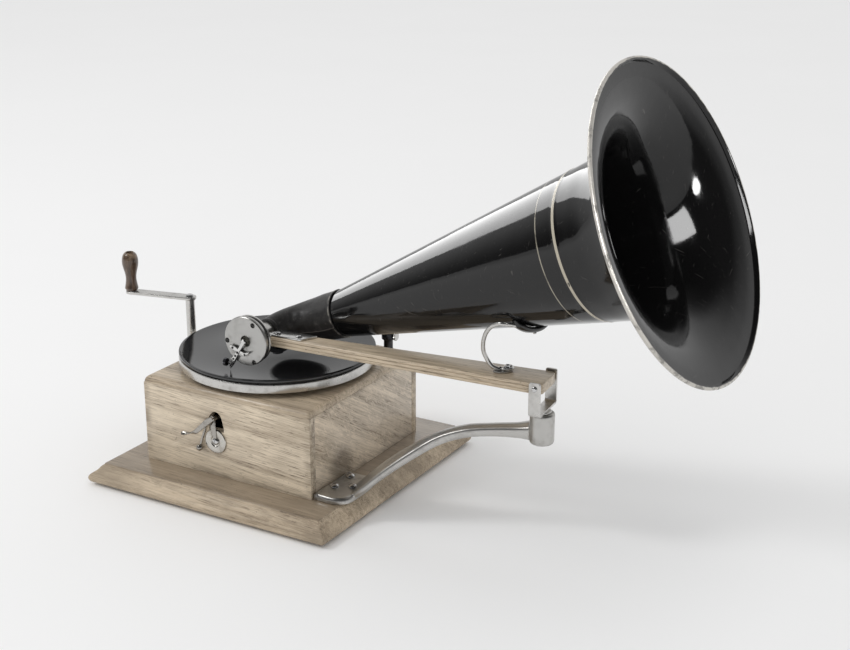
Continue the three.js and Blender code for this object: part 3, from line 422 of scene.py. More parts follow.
class Surface(Nodes):
    """A Principled material whose patterns use object coordinates."""
    INPUTS = {"color": "Base Color", "rough": "Roughness", "metal": "Metallic",
              "normal": "Normal", "coat": "Coat Weight", "coat_rough": "Coat Roughness",
              "specular": "Specular IOR Level", "sheen": "Sheen Weight"}

    def __init__(self, name):
        self.material = bpy.data.materials.new(name)
        self.material.use_nodes = True
        super().__init__(self.material.node_tree)
        self.coords = self.field("ShaderNodeTexCoord", output="Object")

    def map(self, scale=1, turn=(0, 0, 0), shift=(0, 0, 0), start=None):
        scale = scale if isinstance(scale, tuple) else (scale,) * 3
        return self.field("ShaderNodeMapping", {"Vector": start or self.coords, "Scale": scale,
                                                "Rotation": turn, "Location": shift})

    def noise(self, scale, detail, rough=0.55, distort=0.0, turn=(0, 0, 0), start=None):
        where = self.map(scale, turn, start=start)
        return self.field("ShaderNodeTexNoise",
                          {"Vector": where, "Scale": 1.0, "Detail": detail, "Roughness": rough,
                           "Distortion": distort}, "Fac")

    def ramp(self, value, *stops):
        """Colour ramp through (position, colour) stops."""
        ramp = self.field("ShaderNodeValToRGB", {"Fac": value}, "Color")
        elements = ramp.socket.node.color_ramp.elements
        while len(elements) < len(stops):
            elements.new(0.5)
        for element, (position, color) in zip(elements, stops):
            element.position = position
            element.color = (*color, 1)
        return ramp

    def mix(self, amount, below, above):
        return self.field("ShaderNodeMix", {0: amount, 6: below, 7: above}, 2,
                          data_type="RGBA")

    def offset(self, origin):
        return self.vector("SUBTRACT", self.coords, origin)

    def along_horn(self):
        """Distance from the horn's apex along its axis."""
        return self.vector("DOT_PRODUCT", self.offset(HORN_APEX * MM), HORN_AXIS)

    def band(self, value, centre, half, soft):
        """1 within half of centre, fading out over soft."""
        away = self.math("ABSOLUTE", value - centre)
        return self.smooth(away, half, half + soft, at_low=1, at_high=0)

    def bump(self, height, strength, distance, normal=None):
        inputs = {"Strength": strength, "Distance": distance, "Height": height}
        if normal:
            inputs["Normal"] = normal
        return self.field("ShaderNodeBump", inputs)

    def done(self, **values):
        shader = next(n for n in self.tree.nodes if n.type == "BSDF_PRINCIPLED")
        for key, value in values.items():
            self.put(shader.inputs[self.INPUTS[key]], value)
        return self.material


def tone(color, factor):
    return tuple(min(1, c * factor) for c in color)


def oak(name, dark, light, seed, axis=0, plane=2, slant=0.0, fleck=0.0, coat=0.35, pore=0.75,
        stain=0.5, blot=None, painted_top_shade=0.0, grime_and_shade=0.0):
    """Varnished ring-porous oak, grain along an axis and tilted by slant about the plane's
    normal. fleck, pore, stain, painted_top_shade and grime are strengths; blot is (centre,
    radius).
    painted_top_shade darkens the base's flat top as painted shade; grime darkens a board along
    its lower and upper edges as painted shade where it meets the base and the top, and on its
    ends as dirt."""
    wood = Surface(name)
    turn = [0, 0, 0]
    turn[plane] = slant
    base = wood.map(turn=turn, shift=(seed, seed * 0.7, seed * 1.3))

    def streaks(along, across, start=base, **settings):
        scale = [across] * 3
        scale[axis] = along
        return wood.noise(tuple(scale), start=start, **settings)

    warp = streaks(5, 22, detail=2)
    rings = streaks(3.2, 62, detail=3, rough=0.6, distort=0.7)
    streak = streaks(9, 260, detail=4, rough=0.65, distort=0.3)
    fine = streaks(34, 1500, detail=3, rough=0.7)
    pores = streaks(62, 900, detail=3, rough=0.6)
    lines = streaks(24, 700, detail=4, rough=0.7, distort=0.25)
    late_wood = wood.smooth(rings, low=0.38, high=0.62)
    grain = rings * 0.38 + (streak * 0.34 + fine * 0.38)
    mid = tuple((a + b) / 2 for a, b in zip(dark, light))
    color = wood.ramp(grain, (0.38, tone(dark, 0.8)), (0.49, mid), (0.60, light),
                      (0.74, tone(light, 1.2)))
    pits = wood.smooth(pores, low=0.57, high=0.66) * ((1 - late_wood) * 0.7 + 0.3)
    color = wood.mix(wood.smooth(lines, low=0.52, high=0.66) * (0.5 * pore), color,
                     tone(dark, 0.8))
    color = wood.mix(pits * pore, color, tone(dark, 0.42))
    if fleck:
        tilted = wood.map(turn=(0.35 if plane == 0 else 0, 0, 0.25), start=base)
        flakes = streaks(120, 620, tilted, detail=3, rough=0.55, distort=0.35)
        swirl = streaks(16, 40, detail=3, rough=0.5, distort=2.2)
        patch = (wood.smooth(flakes, low=0.48, high=0.66)
                 * wood.smooth(swirl, low=0.36, high=0.62))
        color = wood.mix(patch * fleck, color, tone(light, 1.3))
        color = wood.mix(wood.smooth(swirl, low=0.55, high=0.70) * 0.35, color, tone(mid, 0.7))
    cloud = wood.noise(17, detail=3, start=base)
    color = wood.mix(wood.smooth(cloud, low=0.42, high=0.72) * stain, color, tone(mid, 0.62))
    if blot:
        centre, radius = blot
        away = wood.vector("LENGTH", wood.offset(centre)) + (cloud - 0.5) * 0.03
        inside = 1 - wood.smooth(away, radius * 0.3, radius)
        color = wood.mix(inside * 0.55, color, tone(dark, 0.5))
    # painted shade: the flat top of the base is darkened
    if painted_top_shade:
        height = wood.split(wood.coords)[2]
        color = wood.mix(wood.smooth(height, low=0.0186, high=0.0195) * painted_top_shade, color,
                         tone(dark, 0.75))
    if grime_and_shade:                      # painted shade along the board's lower edge at the base and its upper edge at the top, and dirt on its ends
        place = wood.split(wood.coords)
        low = 1 - wood.smooth(place[2], low=0.0198, high=0.0275)
        top = wood.smooth(place[2], low=0.0885, high=0.0935)
        side = wood.math("ABSOLUTE", place[0 if plane == 1 else 1])
        ends = wood.smooth(side, low=0.0800, high=0.0884)
        dirt_and_shade = wood.math("MAXIMUM", low * 0.9, wood.math("MAXIMUM", top * 0.5, ends * 0.8))
        patchy = wood.smooth(streaks(30, 110, detail=4, rough=0.65), low=0.34, high=0.66)
        # mixes in the painted shade at the edges and the dirt on the ends
        color = wood.mix(dirt_and_shade * patchy * grime_and_shade, color, tone(dark, 0.55))
    spots = wood.noise(260, detail=2, start=base)
    color = wood.mix(wood.smooth(spots, low=0.70, high=0.76) * 0.6, color, tone(dark, 0.35))
    height = fine * 0.35 + (warp * 0.4 - pits * 0.8)
    rough = (pits + cloud) * 0.16 + 0.30
    if painted_top_shade:                   # polished flat top, rubbed dull edge
        flat = wood.smooth(wood.split(wood.coords)[2], low=0.0190, high=0.0197)
        rough = rough + (1 - flat) * 0.22
        coat = 0.06 + flat * coat
    return wood.done(color=color, rough=rough, coat=coat, coat_rough=0.16, specular=0.4,
                     normal=wood.bump(height, strength=0.35, distance=0.0003))


def metal(name, color, rough, vary, tarnish, dark=(0.16, 0.145, 0.125), scratch=0.25,
          brushed=None, seed=0.0):
    """Metal with clouds of dark tarnish; vary spreads the roughness, and brushed is the
    noise scale of a brushed finish."""
    plate = Surface(name)
    base = plate.map(shift=(seed,) * 3)
    big = plate.noise(55, detail=4, rough=0.6, start=base)
    small = plate.noise(230, detail=3, start=base)
    scratches = plate.noise((2600, 240, 900), detail=2, rough=0.6, turn=(0.3, 0.2, 0.7),
                            start=base)
    spots = plate.smooth(plate.noise(700, detail=2, start=base), low=0.69, high=0.76)
    clouds = plate.smooth(big, low=0.46, high=0.72) * plate.smooth(small, low=0.3, high=0.7)
    stain = ((clouds + spots * 0.2) * tarnish).clamp()
    height = small * 0.5 + scratches * scratch
    if brushed:
        height = height + plate.noise(brushed, detail=3, rough=0.7, start=base) * 0.8
    return plate.done(color=plate.mix(stain, color, dark), metal=1.0,
                      rough=(rough + (small - 0.5) * vary + stain * 0.35).clamp(),
                      normal=plate.bump(height, 0.12 if brushed else 0.035, distance=0.0002))


def walnut():
    wood = Surface("turned_hardwood")
    streak = wood.noise((330, 330, 26), detail=4, rough=0.65, distort=0.5)
    fine = wood.noise((1600, 1600, 70), detail=2, rough=0.6)
    color = wood.ramp(streak * 0.75 + fine * 0.25, (0.34, (0.030, 0.018, 0.012)),
                      (0.5, (0.085, 0.052, 0.033)), (0.66, (0.175, 0.115, 0.075)))
    worn_top = (wood.smooth(wood.split(wood.coords)[2], low=0.176, high=0.1845)
                * wood.smooth(wood.noise(240, detail=3), low=0.42, high=0.6))
    return wood.done(color=wood.mix(worn_top * 0.6, color, (0.36, 0.26, 0.17)),
                     rough=0.22 + streak * 0.2, coat=0.6, coat_rough=0.12,
                     normal=wood.bump(fine, strength=0.25, distance=0.0002))


def shellac():
    """Grooved black record, its normals tilted a little on one side."""
    groove_pitch = 0.00055
    disc = Surface("record_shellac")
    x, y, _ = disc.split(disc.offset((SPINDLE[0] * MM, SPINDLE[1] * MM, 0)))
    radius = disc.math("SQRT", x * x + y * y)
    groove = disc.math("SINE", radius * (tau / groove_pitch))
    grooved = (disc.smooth(radius, low=0.0345, high=0.0352)
               * (1 - disc.smooth(radius, low=0.0852, high=0.0858)))
    cloud = disc.noise(36, detail=4, rough=0.6)
    dust = disc.smooth(disc.noise(1500, detail=1), low=0.72, high=0.78)
    scratches = disc.smooth(disc.noise((90, 2400, 90), detail=1, turn=(0, 0, 0.6)),
                            low=0.70, high=0.76)
    color = disc.mix((dust + scratches * 0.5) * 0.10, (0.012, 0.012, 0.013),
                     (0.30, 0.29, 0.27))
    side = x + y * 0.35 + (disc.noise(24, detail=1, rough=0.4) - 0.5) * 0.050
    warp = disc.smooth(side, low=-0.030, high=0.022) * 0.075
    tilt = disc.field("ShaderNodeCombineXYZ", {0: warp * 0.50, 1: warp * -0.866})
    tilt = disc.field("ShaderNodeVectorTransform", {0: tilt}, vector_type="VECTOR",
                      convert_from="OBJECT", convert_to="WORLD")
    normal = disc.field("ShaderNodeNewGeometry", output="Normal")
    normal = disc.vector("NORMALIZE", disc.vector("ADD", normal, tilt))
    return disc.done(color=color, rough=0.02 + cloud * 0.035 + grooved * 0.012,
                     coat_rough=0.05, specular=0.78,
                     normal=disc.bump(groove * grooved, 0.02, distance=0.00005, normal=normal))


def felt():
    cloth = Surface("felt_dark")
    fibre = cloth.noise(1700, detail=4, rough=0.7)
    cloud = cloth.noise(60, detail=3)
    color = cloth.ramp(fibre * 0.6 + cloud * 0.4, (0.35, (0.016, 0.017, 0.016)),
                       (0.65, (0.055, 0.056, 0.052)))
    return cloth.done(color=color, rough=0.95, sheen=0.3,
                      normal=cloth.bump(fibre, strength=0.6, distance=0.0006))


def horn_paint():
    """Black lacquer with a pale stripe and line around the outside and a worn rim."""
    paint = Surface("horn_black_lacquer")
    along = paint.along_horn()
    cloud = paint.noise(22, detail=4, rough=0.6)
    fine = paint.noise(700, detail=3, rough=0.6)
    nicks = paint.smooth(paint.noise(310, detail=3, rough=0.7), low=0.735, high=0.76)
    scratches = paint.math(
        "MAXIMUM",
        paint.smooth(paint.noise((30, 1900, 130), detail=1, turn=(0.4, 0.9, 0.3)),
                     low=0.735, high=0.77),
        paint.smooth(paint.noise((1500, 26, 140), detail=1, turn=(1.1, 0.2, 0.8)),
                     low=0.745, high=0.78))
    wear = ((nicks * 0.5 + scratches * 0.22) * 1.0).clamp()
    color = paint.mix(wear, (0.0065, 0.0064, 0.0066), (0.22, 0.21, 0.19))
    axial = paint.field("ShaderNodeVectorMath", {0: HORN_AXIS, "Scale": along},
                        operation="SCALE")
    radius = paint.vector(
        "LENGTH", paint.vector("SUBTRACT", paint.offset(HORN_APEX * MM), axial))
    outside = paint.smooth(radius - along * HORN_SLOPE, low=-0.0006, high=-0.0004)
    stripe = (paint.band(along, centre=0.3875, half=0.0012, soft=0.0002)
              * paint.smooth(paint.noise(180, detail=3), low=0.30, high=0.36))
    line = (paint.band(along, centre=0.3700, half=0.00035, soft=0.0003)
            * (0.45 + paint.smooth(paint.noise(90, detail=3), low=0.32, high=0.5) * 0.5))
    marks = paint.math("MAXIMUM", stripe, line * 0.7) * outside
    color = paint.mix(marks * 0.85, color, (0.55, 0.50, 0.40))
    ragged = (paint.noise(110, detail=4, rough=0.7) - 0.5) * 0.0022
    edge = paint.smooth(radius + ragged, low=0.1262, high=0.1270)
    rim = edge * (0.42 + paint.smooth(paint.noise(60, detail=5, rough=0.75),
                                      low=0.36, high=0.52) * 0.55)
    color = paint.mix(rim, color, (0.60, 0.575, 0.53))
    rough = 0.045 + paint.smooth(cloud, low=0.35, high=0.8) * 0.10 + (rim * 0.3 + marks * 0.25)
    dents = paint.bump(paint.noise(26, detail=3, rough=0.5), strength=0.10, distance=0.0025)
    return paint.done(color=color, rough=rough + wear * 0.3, metal=rim * 0.35,
                      coat_rough=0.05, specular=0.42,
                      normal=paint.bump(fine, strength=0.05, distance=0.0002, normal=dents))


def leather():
    hide = Surface("leather_black")
    cells = hide.field("ShaderNodeTexVoronoi", {"Vector": hide.map(620), "Scale": 1},
                       "Distance", feature="DISTANCE_TO_EDGE")
    grain = hide.smooth(cells, low=0.0, high=0.22)
    big = hide.noise(70, detail=5, rough=0.7)
    mottle = hide.noise(240, detail=4, rough=0.7)
    color = hide.ramp(big * 0.5 + mottle * 0.5, (0.38, (0.010, 0.009, 0.009)),
                      (0.56, (0.026, 0.024, 0.023)), (0.70, (0.085, 0.078, 0.072)))
    flecks = hide.smooth(hide.noise(1000, detail=2), low=0.68, high=0.74)
    color = hide.mix(flecks * 0.5, color, (0.34, 0.32, 0.29))
    worn = (hide.band(hide.along_horn(), centre=0.1288, half=0.0004, soft=0.0006)
            * hide.smooth(mottle, low=0.44, high=0.58))
    color = hide.mix(worn * 0.55, color, (0.42, 0.39, 0.34))
    normal = hide.bump(grain, strength=0.35, distance=0.0003)
    return hide.done(color=color, rough=0.26 + big * 0.28, coat=0.15, coat_rough=0.25,
                     normal=hide.bump(mottle, strength=0.35, distance=0.0008, normal=normal))


def rubber():
    ring = Surface("rubber_ring")
    noise = ring.noise(900, detail=3)
    color = ring.ramp(noise, (0.35, (0.012, 0.012, 0.012)), (0.7, (0.05, 0.048, 0.046)))
    return ring.done(color=color, rough=0.55,
                     normal=ring.bump(noise, strength=0.3, distance=0.0003))


def mica():
    sheet = Surface("mica_sheet")
    noise = sheet.noise(260, detail=5, rough=0.7, distort=1.2)
    color = sheet.ramp(noise, (0.35, (0.16, 0.15, 0.13)), (0.7, (0.42, 0.40, 0.35)))
    return sheet.done(color=color, rough=0.08 + noise * 0.15, coat=0.5, coat_rough=0.05,
                      normal=sheet.bump(noise, strength=0.2, distance=0.0003))


def gloss_black():
    paint = Surface("gloss_black")
    noise = paint.noise(60, detail=4)
    nicks = paint.smooth(paint.noise(800, detail=2), low=0.70, high=0.75)
    color = paint.mix(nicks * 0.35, (0.008, 0.008, 0.008), (0.3, 0.29, 0.27))
    return paint.done(color=color, rough=0.05 + noise * 0.12, coat_rough=0.05, specular=0.6,
                      normal=paint.bump(noise, strength=0.1, distance=0.0008))


def thread():
    wax = Surface("waxed_thread")
    noise = wax.noise(2600, detail=2)
    color = wax.ramp(noise, (0.3, (0.05, 0.045, 0.04)), (0.7, (0.13, 0.115, 0.10)))
    return wax.done(color=color, rough=0.6,
                    normal=wax.bump(noise, strength=0.4, distance=0.0002))


OAK_FRONT = oak("oak_front", (0.27, 0.20, 0.135), (0.76, 0.65, 0.50), seed=0.31, plane=1,
                slant=-0.06, coat=0.3, stain=0.32, pore=0.9, grime_and_shade=0.75)
OAK_BACK = oak("oak_back", (0.26, 0.195, 0.13), (0.68, 0.57, 0.43), seed=1.7, plane=1,
               slant=0.04, stain=0.4, grime_and_shade=0.6)
OAK_SIDE = oak("oak_side", (0.26, 0.20, 0.14), (0.72, 0.61, 0.475), seed=2.3, axis=1, plane=0,
               slant=0.55, fleck=0.45, blot=((0.0889, -0.040, 0.034), 0.022), grime_and_shade=0.8)
OAK_TOP = oak("oak_top", (0.24, 0.18, 0.12), (0.62, 0.51, 0.375), seed=0.9, fleck=0.2)
OAK_BASE = oak("oak_base", (0.20, 0.148, 0.098), (0.54, 0.44, 0.32), seed=3.1, slant=0.03,
               coat=0.8, fleck=0.25, stain=0.6, painted_top_shade=0.5)
OAK_BEAM = oak("oak_beam", (0.24, 0.18, 0.12), (0.64, 0.53, 0.39), seed=4.4,
               slant=-BEAM_TURN, coat=0.3, stain=0.3)
NICKEL = metal("nickel", (0.61, 0.60, 0.58), rough=0.28, vary=0.07, tarnish=0.34, scratch=0.05)
LEVER = metal("lever_plated", (0.42, 0.40, 0.37), rough=0.26, vary=0.16, tarnish=0.6,
              dark=(0.10, 0.09, 0.08), scratch=0.5, seed=1.9)
NICKEL_WORN = metal("nickel_worn", (0.56, 0.55, 0.53), rough=0.36, vary=0.12, tarnish=0.42,
                    scratch=0.5, seed=0.4)
NICKEL_BRIGHT = metal("nickel_bright", (0.66, 0.655, 0.64), rough=0.22, vary=0.06,
                      tarnish=0.26, scratch=0.05, seed=0.8)
STEEL = metal("steel_bright", (0.62, 0.62, 0.62), rough=0.18, vary=0.08, tarnish=0.25, seed=0.2)
STEEL_PART = metal("steel_part", (0.45, 0.455, 0.46), rough=0.33, vary=0.12, tarnish=0.3,
                   brushed=(900, 900, 60))
IRON = metal("iron_plate", (0.34, 0.34, 0.34), rough=0.42, vary=0.15, tarnish=0.45,
             brushed=(40, 1400, 200))
BRASS = metal("brass_cut", (0.66, 0.50, 0.26), rough=0.26, vary=0.12, tarnish=0.4,
              dark=(0.20, 0.13, 0.06), brushed=(60, 1100, 200))
FACE = metal("nickel_face", (0.47, 0.465, 0.45), rough=0.30, vary=0.10, tarnish=0.3, seed=2.6)
DISC = metal("plate_disc", (0.60, 0.58, 0.54), rough=0.24, vary=0.12, tarnish=0.35,
             dark=(0.26, 0.22, 0.17), seed=1.2)
BLUED = metal("blackened", (0.045, 0.045, 0.05), rough=0.30, vary=0.14, tarnish=0.5,
              dark=(0.22, 0.21, 0.20), scratch=0.5)
DARK_SCREW = metal("dark_screw", (0.075, 0.073, 0.072), rough=0.30, vary=0.1, tarnish=0.4,
                   dark=(0.28, 0.27, 0.25))
WALNUT, SHELLAC, FELT, HORN, LEATHER = walnut(), shellac(), felt(), horn_paint(), leather()
RUBBER, MICA, GLOSS, THREAD = rubber(), mica(), gloss_black(), thread()

# CAD nodes that keep their shape, mostly inside the closed case
KEPT = {
    STEEL_PART: "spindle barrel_arbor ratchet_wheel click intermediate_arbor governor_spindle"
                " mainspring motor_pillar_1 motor_pillar_2 motor_pillar_3",
    IRON: "motor_bottom_plate motor_top_plate",
    BRASS: "spring_barrel barrel_cover winding_wheel intermediate_wheel spindle_wheel"
           " governor_disc governor_weight_1 governor_weight_2",
}


def paint_kept_nodes():
    for material, names in KEPT.items():
        for name in names.split():
            materials = frame["nodes"][name].data.materials
            materials.clear()
            materials.append(material)


# ---------------------------------------------------------------- base and case
def base():
    half_x, half_y = 125.5, 126.3
    ratio = (half_y - 115.9) / (half_x - 114.2)    # y inset for each unit of x inset
    # outward offset, height
    moulding = [(-2.6, 2.2), (-0.6, 2.7), (0.9, 4.0), (1.7, 5.9), (1.6, 7.9), (0.5, 9.7),
                (-1.5, 11.3), (-3.7, 12.9), (-5.5, 14.6), (-6.9, 16.4), (-8.2, 17.6),
                (-9.2, 18.1), (-9.6, 18.8), (-10.0, 19.5), (-11.0, BASE_TOP)]
    mesh = stack([(rounded_rect(half_x + out, half_y + out * ratio, 1.3, 3), z)
                  for out, z in spline(moulding, 3)])
    make("base_moulding", mesh, OAK_BASE, "case", "base_plinth", 28)
    foot = [(111.2, 0.0), (111.8, 0.25), (112.0, 0.7), (112.0, 2.3)]    # half size, height
    mesh = stack([(rounded_rect(half, half, 6, 4), z) for half, z in foot])
    make("base_foot_board", mesh, OAK_BASE, "case", angle=28)


def board(name, x0, x1, y0, y1, material, node, cuts=(), rounding=0.45):
    make(name, box(x0, x1, y0, y1, BASE_TOP, BOARD_TOP), material, "case", node,
         cuts=cuts, edge=(rounding, 2, 40))


def case():
    # x, z of the arched slot in the front board
    arch = [(-17.2, 62.5), (-18.4, 67), (-18.0, 72), (-16, 76.6), (-11.8, 80.3), (-7.2, 79.9),
            (-4.2, 76.4), (-2.4, 70.5), (-1.5, 66), (-1.8, 62.5)]
    before, behind = FRONT - 3, FRONT + WALL + 3
    cuts = (prism(spline(arch, 4), before, behind, front_point),
            rod(front_point(*DISC_CENTRE, before), front_point(*DISC_CENTRE, FRONT + 7), 1.7),
            rod(front_point(*SPEED_HOLE, before), front_point(*SPEED_HOLE, behind), 1.28))
    board("case_front_board", -HALF_X, HALF_X, -HALF_Y, -HALF_Y + WALL, OAK_FRONT,
          "case_front", cuts, 0.4)
    board("case_back_board", -HALF_X, HALF_X, HALF_Y - WALL, HALF_Y, OAK_BACK, "case_back")
    crank_slot = box(-HALF_X - 3, -HALF_X + WALL + 3, -61.5, 20, 24.5, 30.2)
    inner_y = HALF_Y - WALL
    board("case_left_board", -HALF_X, -HALF_X + WALL, -inner_y, inner_y, OAK_SIDE,
          "case_left", (crank_slot,))
    board("case_right_board", HALF_X - WALL, HALF_X, -inner_y, inner_y, OAK_SIDE, "case_right")
    profile = [(-0.35, BOARD_TOP), (0, 94.0)]      # outward offset, height
    for i in range(9):
        angle = radians(90 * i / 8)
        profile.append((-5.5 * (1 - cos(angle)), 94.4 + 5.3 * sin(angle)))
    mesh = stack([(rounded_rect(HALF_X + out, HALF_Y + out, 2.2, 4), z) for out, z in profile])
    make("case_top_board", mesh, OAK_TOP, "case", "motor_board", 30,
         cuts=(rod((*SPINDLE, 80), (*SPINDLE, 110), 6.5, 32),
               rod((*REST_POST, 94.5), (*REST_POST, 110), 2.6, 24)))


# ---------------------------------------------------------------- on the front board
def front_disc():
    # radius, distance in front of the board
    profile = [(1.8, 0), (1.8, 0.55), (3.4, 0.55), (4.3, 0.75), (4.9, 1.35), (5.4, 1.5),
               (10.3, 1.5), (10.9, 1.35), (11.3, 0.9), (11.4, 0.4), (11.4, 0), (1.8, 0)]
    mesh = lathe([(r, FRONT - out) for r, out in profile], 72, front_point(*DISC_CENTRE, 0),
                 Y_AXES)
    make("front_disc", mesh, DISC, "case", "brake_plate", 30)
    head = screw(front_point(*DISC_CENTRE, FRONT - 0.7), (0, -1, 0), 3.3, 1.7, 40, slot=0.95,
                 turn=0.95, shaft=6)
    make_screws("front_disc_screw", [head], STEEL, "case", "brake_plate_screw")


def front_tongue():
    """Narrow tongue from the arched slot down to the disc."""
    # x, z, half width
    path = spline([(-12.6, 76.2, 2.1), (-12.2, 72, 2.7), (-11.6, 66, 2.9), (-11.0, 60, 2.5),
                   (-10.5, 56.8, 2.2)], 5)
    # across in half widths, y offset
    section = [(-1, 0.1), (-1, -0.45), (-0.8, -0.7), (0, -0.85), (0.8, -0.7), (1, -0.45),
               (1, 0.1), (0, 0.0)]
    rings = []
    for i, (x, z, half) in enumerate(path):
        y = FRONT - 1.75 + 1.9 * max(0, 1 - i / (len(path) - 1) * 2.2)
        rings.append([Vector((x + a * half, y + b, z)) for a, b in section])
    make("front_tongue", skin(rings), LEVER, "case", angle=40)


def speed_lever():
    """Strap down to the left of the slot, twisting near its tip, and the blade inside."""
    # x, z, half width, y, twist in radians
    path = spline([(-9.0, 76.2, 2.0, -93.5, 0), (-14.5, 72.6, 2.6, -93.5, 0),
                   (-22, 65.8, 2.3, -93.5, 0), (-28, 60.4, 2.0, -93.5, 0.1),
                   (-32.0, 58.4, 1.5, -93.7, 0.9), (-36.0, 57.5, 1.4, -94.3, 1.7),
                   (-40.0, 56.7, 1.8, -94.9, 2.5), (-43.2, 56.2, 1.5, -95.2, 2.9)], 7)
    # across in half widths, depth in half thicknesses
    section = [(-1, -0.5), (-0.9, -1), (-0.3, -1), (0.3, -1), (0.9, -1), (1, -0.5), (1, 0.5),
               (0.9, 1), (-0.9, 1), (-1, 0.5)]
    half_thick = 0.62
    rings = []
    for before, (x, z, half, y, twist), after in walk(path):
        along, normal = upright_frame(before, after)
        across = normal * cos(twist) + Vector((0, 1, 0)) * sin(twist)
        deep = across.cross(along)
        half *= 1 if twist < 2.0 else 0.95
        rings.append([Vector((x, y, z)) + across * (half * a) + deep * (half_thick * b)
                      for a, b in section])
    blade = prism([(-10.2, -55.6), (-12.5, -84), (-12.5, -93.9), (-7.6, -93.9), (-7.5, -84),
                   (-5.2, -57.4), (12, -44.2), (27, -44.6), (31, -44.4), (32.8, -41),
                   (31, -37.6), (27, -37.6), (22, -39.4), (17.2, -38.6), (16.7, -35.4),
                   (11.7, -35.4), (10.7, -39.2)], 74.25, 75.75)
    pad = prism([(11.7, -38.6), (16.7, -38.6), (16.7, -35.5), (11.7, -35.5)], 70.7, 74.3)
    make("speed_lever", join(skin(rings), blade, pad), LEVER, "brake_lever",
         "brake_lever", edge=(0.18, 1, 50))


def speed_rod():
    radius = 3.1
    profile = [(0, -radius)] + [(radius * cos(radians(a)), radius * sin(radians(a)))
                                for a in range(-75, 76, 15)] + [(0, radius)]
    mesh = join(rod(front_point(*SPEED_HOLE, -78), front_point(*SPEED_HOLE, -90.9), 1.15),
                tube([(-20.2, -90.1, 68.0), (-20.9, -90.2, 62), (-23.3, -90.5, 55),
                      (-25.7, -90.8, 47.3)], 1.1, 14, 6),
                lathe(profile, 28, (-26.2, -91.7, 45)))
    make("speed_rod_ball", mesh, LEVER, "speed_rod", "speed_rod", 35)


# ---------------------------------------------------------------- turntable and record
def turntable():
    def part(name, profile, sides, material, node, angle=30, wobble=None):
        mesh = lathe(profile, sides, (*SPINDLE, 0), wobble=wobble)
        make(name, mesh, material, "turntable", node, angle)

    def square_knurl(angle, k, radius):
        if not 2 <= k <= 5:
            return radius
        return radius + 0.22 * (1 if int(angle / tau * 192) % 4 < 2 else -1)

    # profiles: radius, height
    part("platter", [(3.6, 102), (8, 102), (8.6, 102.4), (9, 108.6), (85.6, 108.8),
                     (86.4, 104.8), (86.9, 104.5), (88.2, 104.5), (88.8, 104.75), (89, 105.3),
                     (89, 111.5), (88.85, 112.1), (88.3, 112.5), (87.4, 112.55), (3.6, 112.5),
                     (3.6, 102)], 128, NICKEL, "turntable")
    part("felt_cover", [(3.7, 112.6), (86.0, 112.6), (86.5, 112.9), (86.5, 113.7),
                        (86.1, 113.98), (3.7, 113.98), (3.7, 112.6)],
         96, FELT, "felt_mat")
    part("disc_record", [(3.7, 114.05), (88.3, 114.05), (88.7, 114.25), (88.88, 114.7),
                         (88.88, 115.8), (88.7, 116.25), (88.2, 116.5), (86.4, 116.5),
                         (85.6, 116.3), (60, 116.29), (35.2, 116.3), (34.4, 116.48),
                         (12, 116.5), (5, 116.5), (3.7, 116.45), (3.7, 114.05)],
         160, SHELLAC, "record")
    part("record_clamp_nut", [(8.0, 116.56), (8.5, 116.75), (8.5, 117.3), (8.5, 118.6),
                              (8.5, 120.6), (8.5, 122.0), (8.3, 122.5), (6.6, 123.1),
                              (5.4, 123.5), (5.1, 124.2), (5.1, 127.2), (4.7, 128.1),
                              (3.4, 128.8), (1.6, 129), (0, 129), (0, 125.7), (3.65, 125.7),
                              (3.65, 116.56), (8.0, 116.56)],
         192, BLUED, "record_nut", 28, square_knurl)


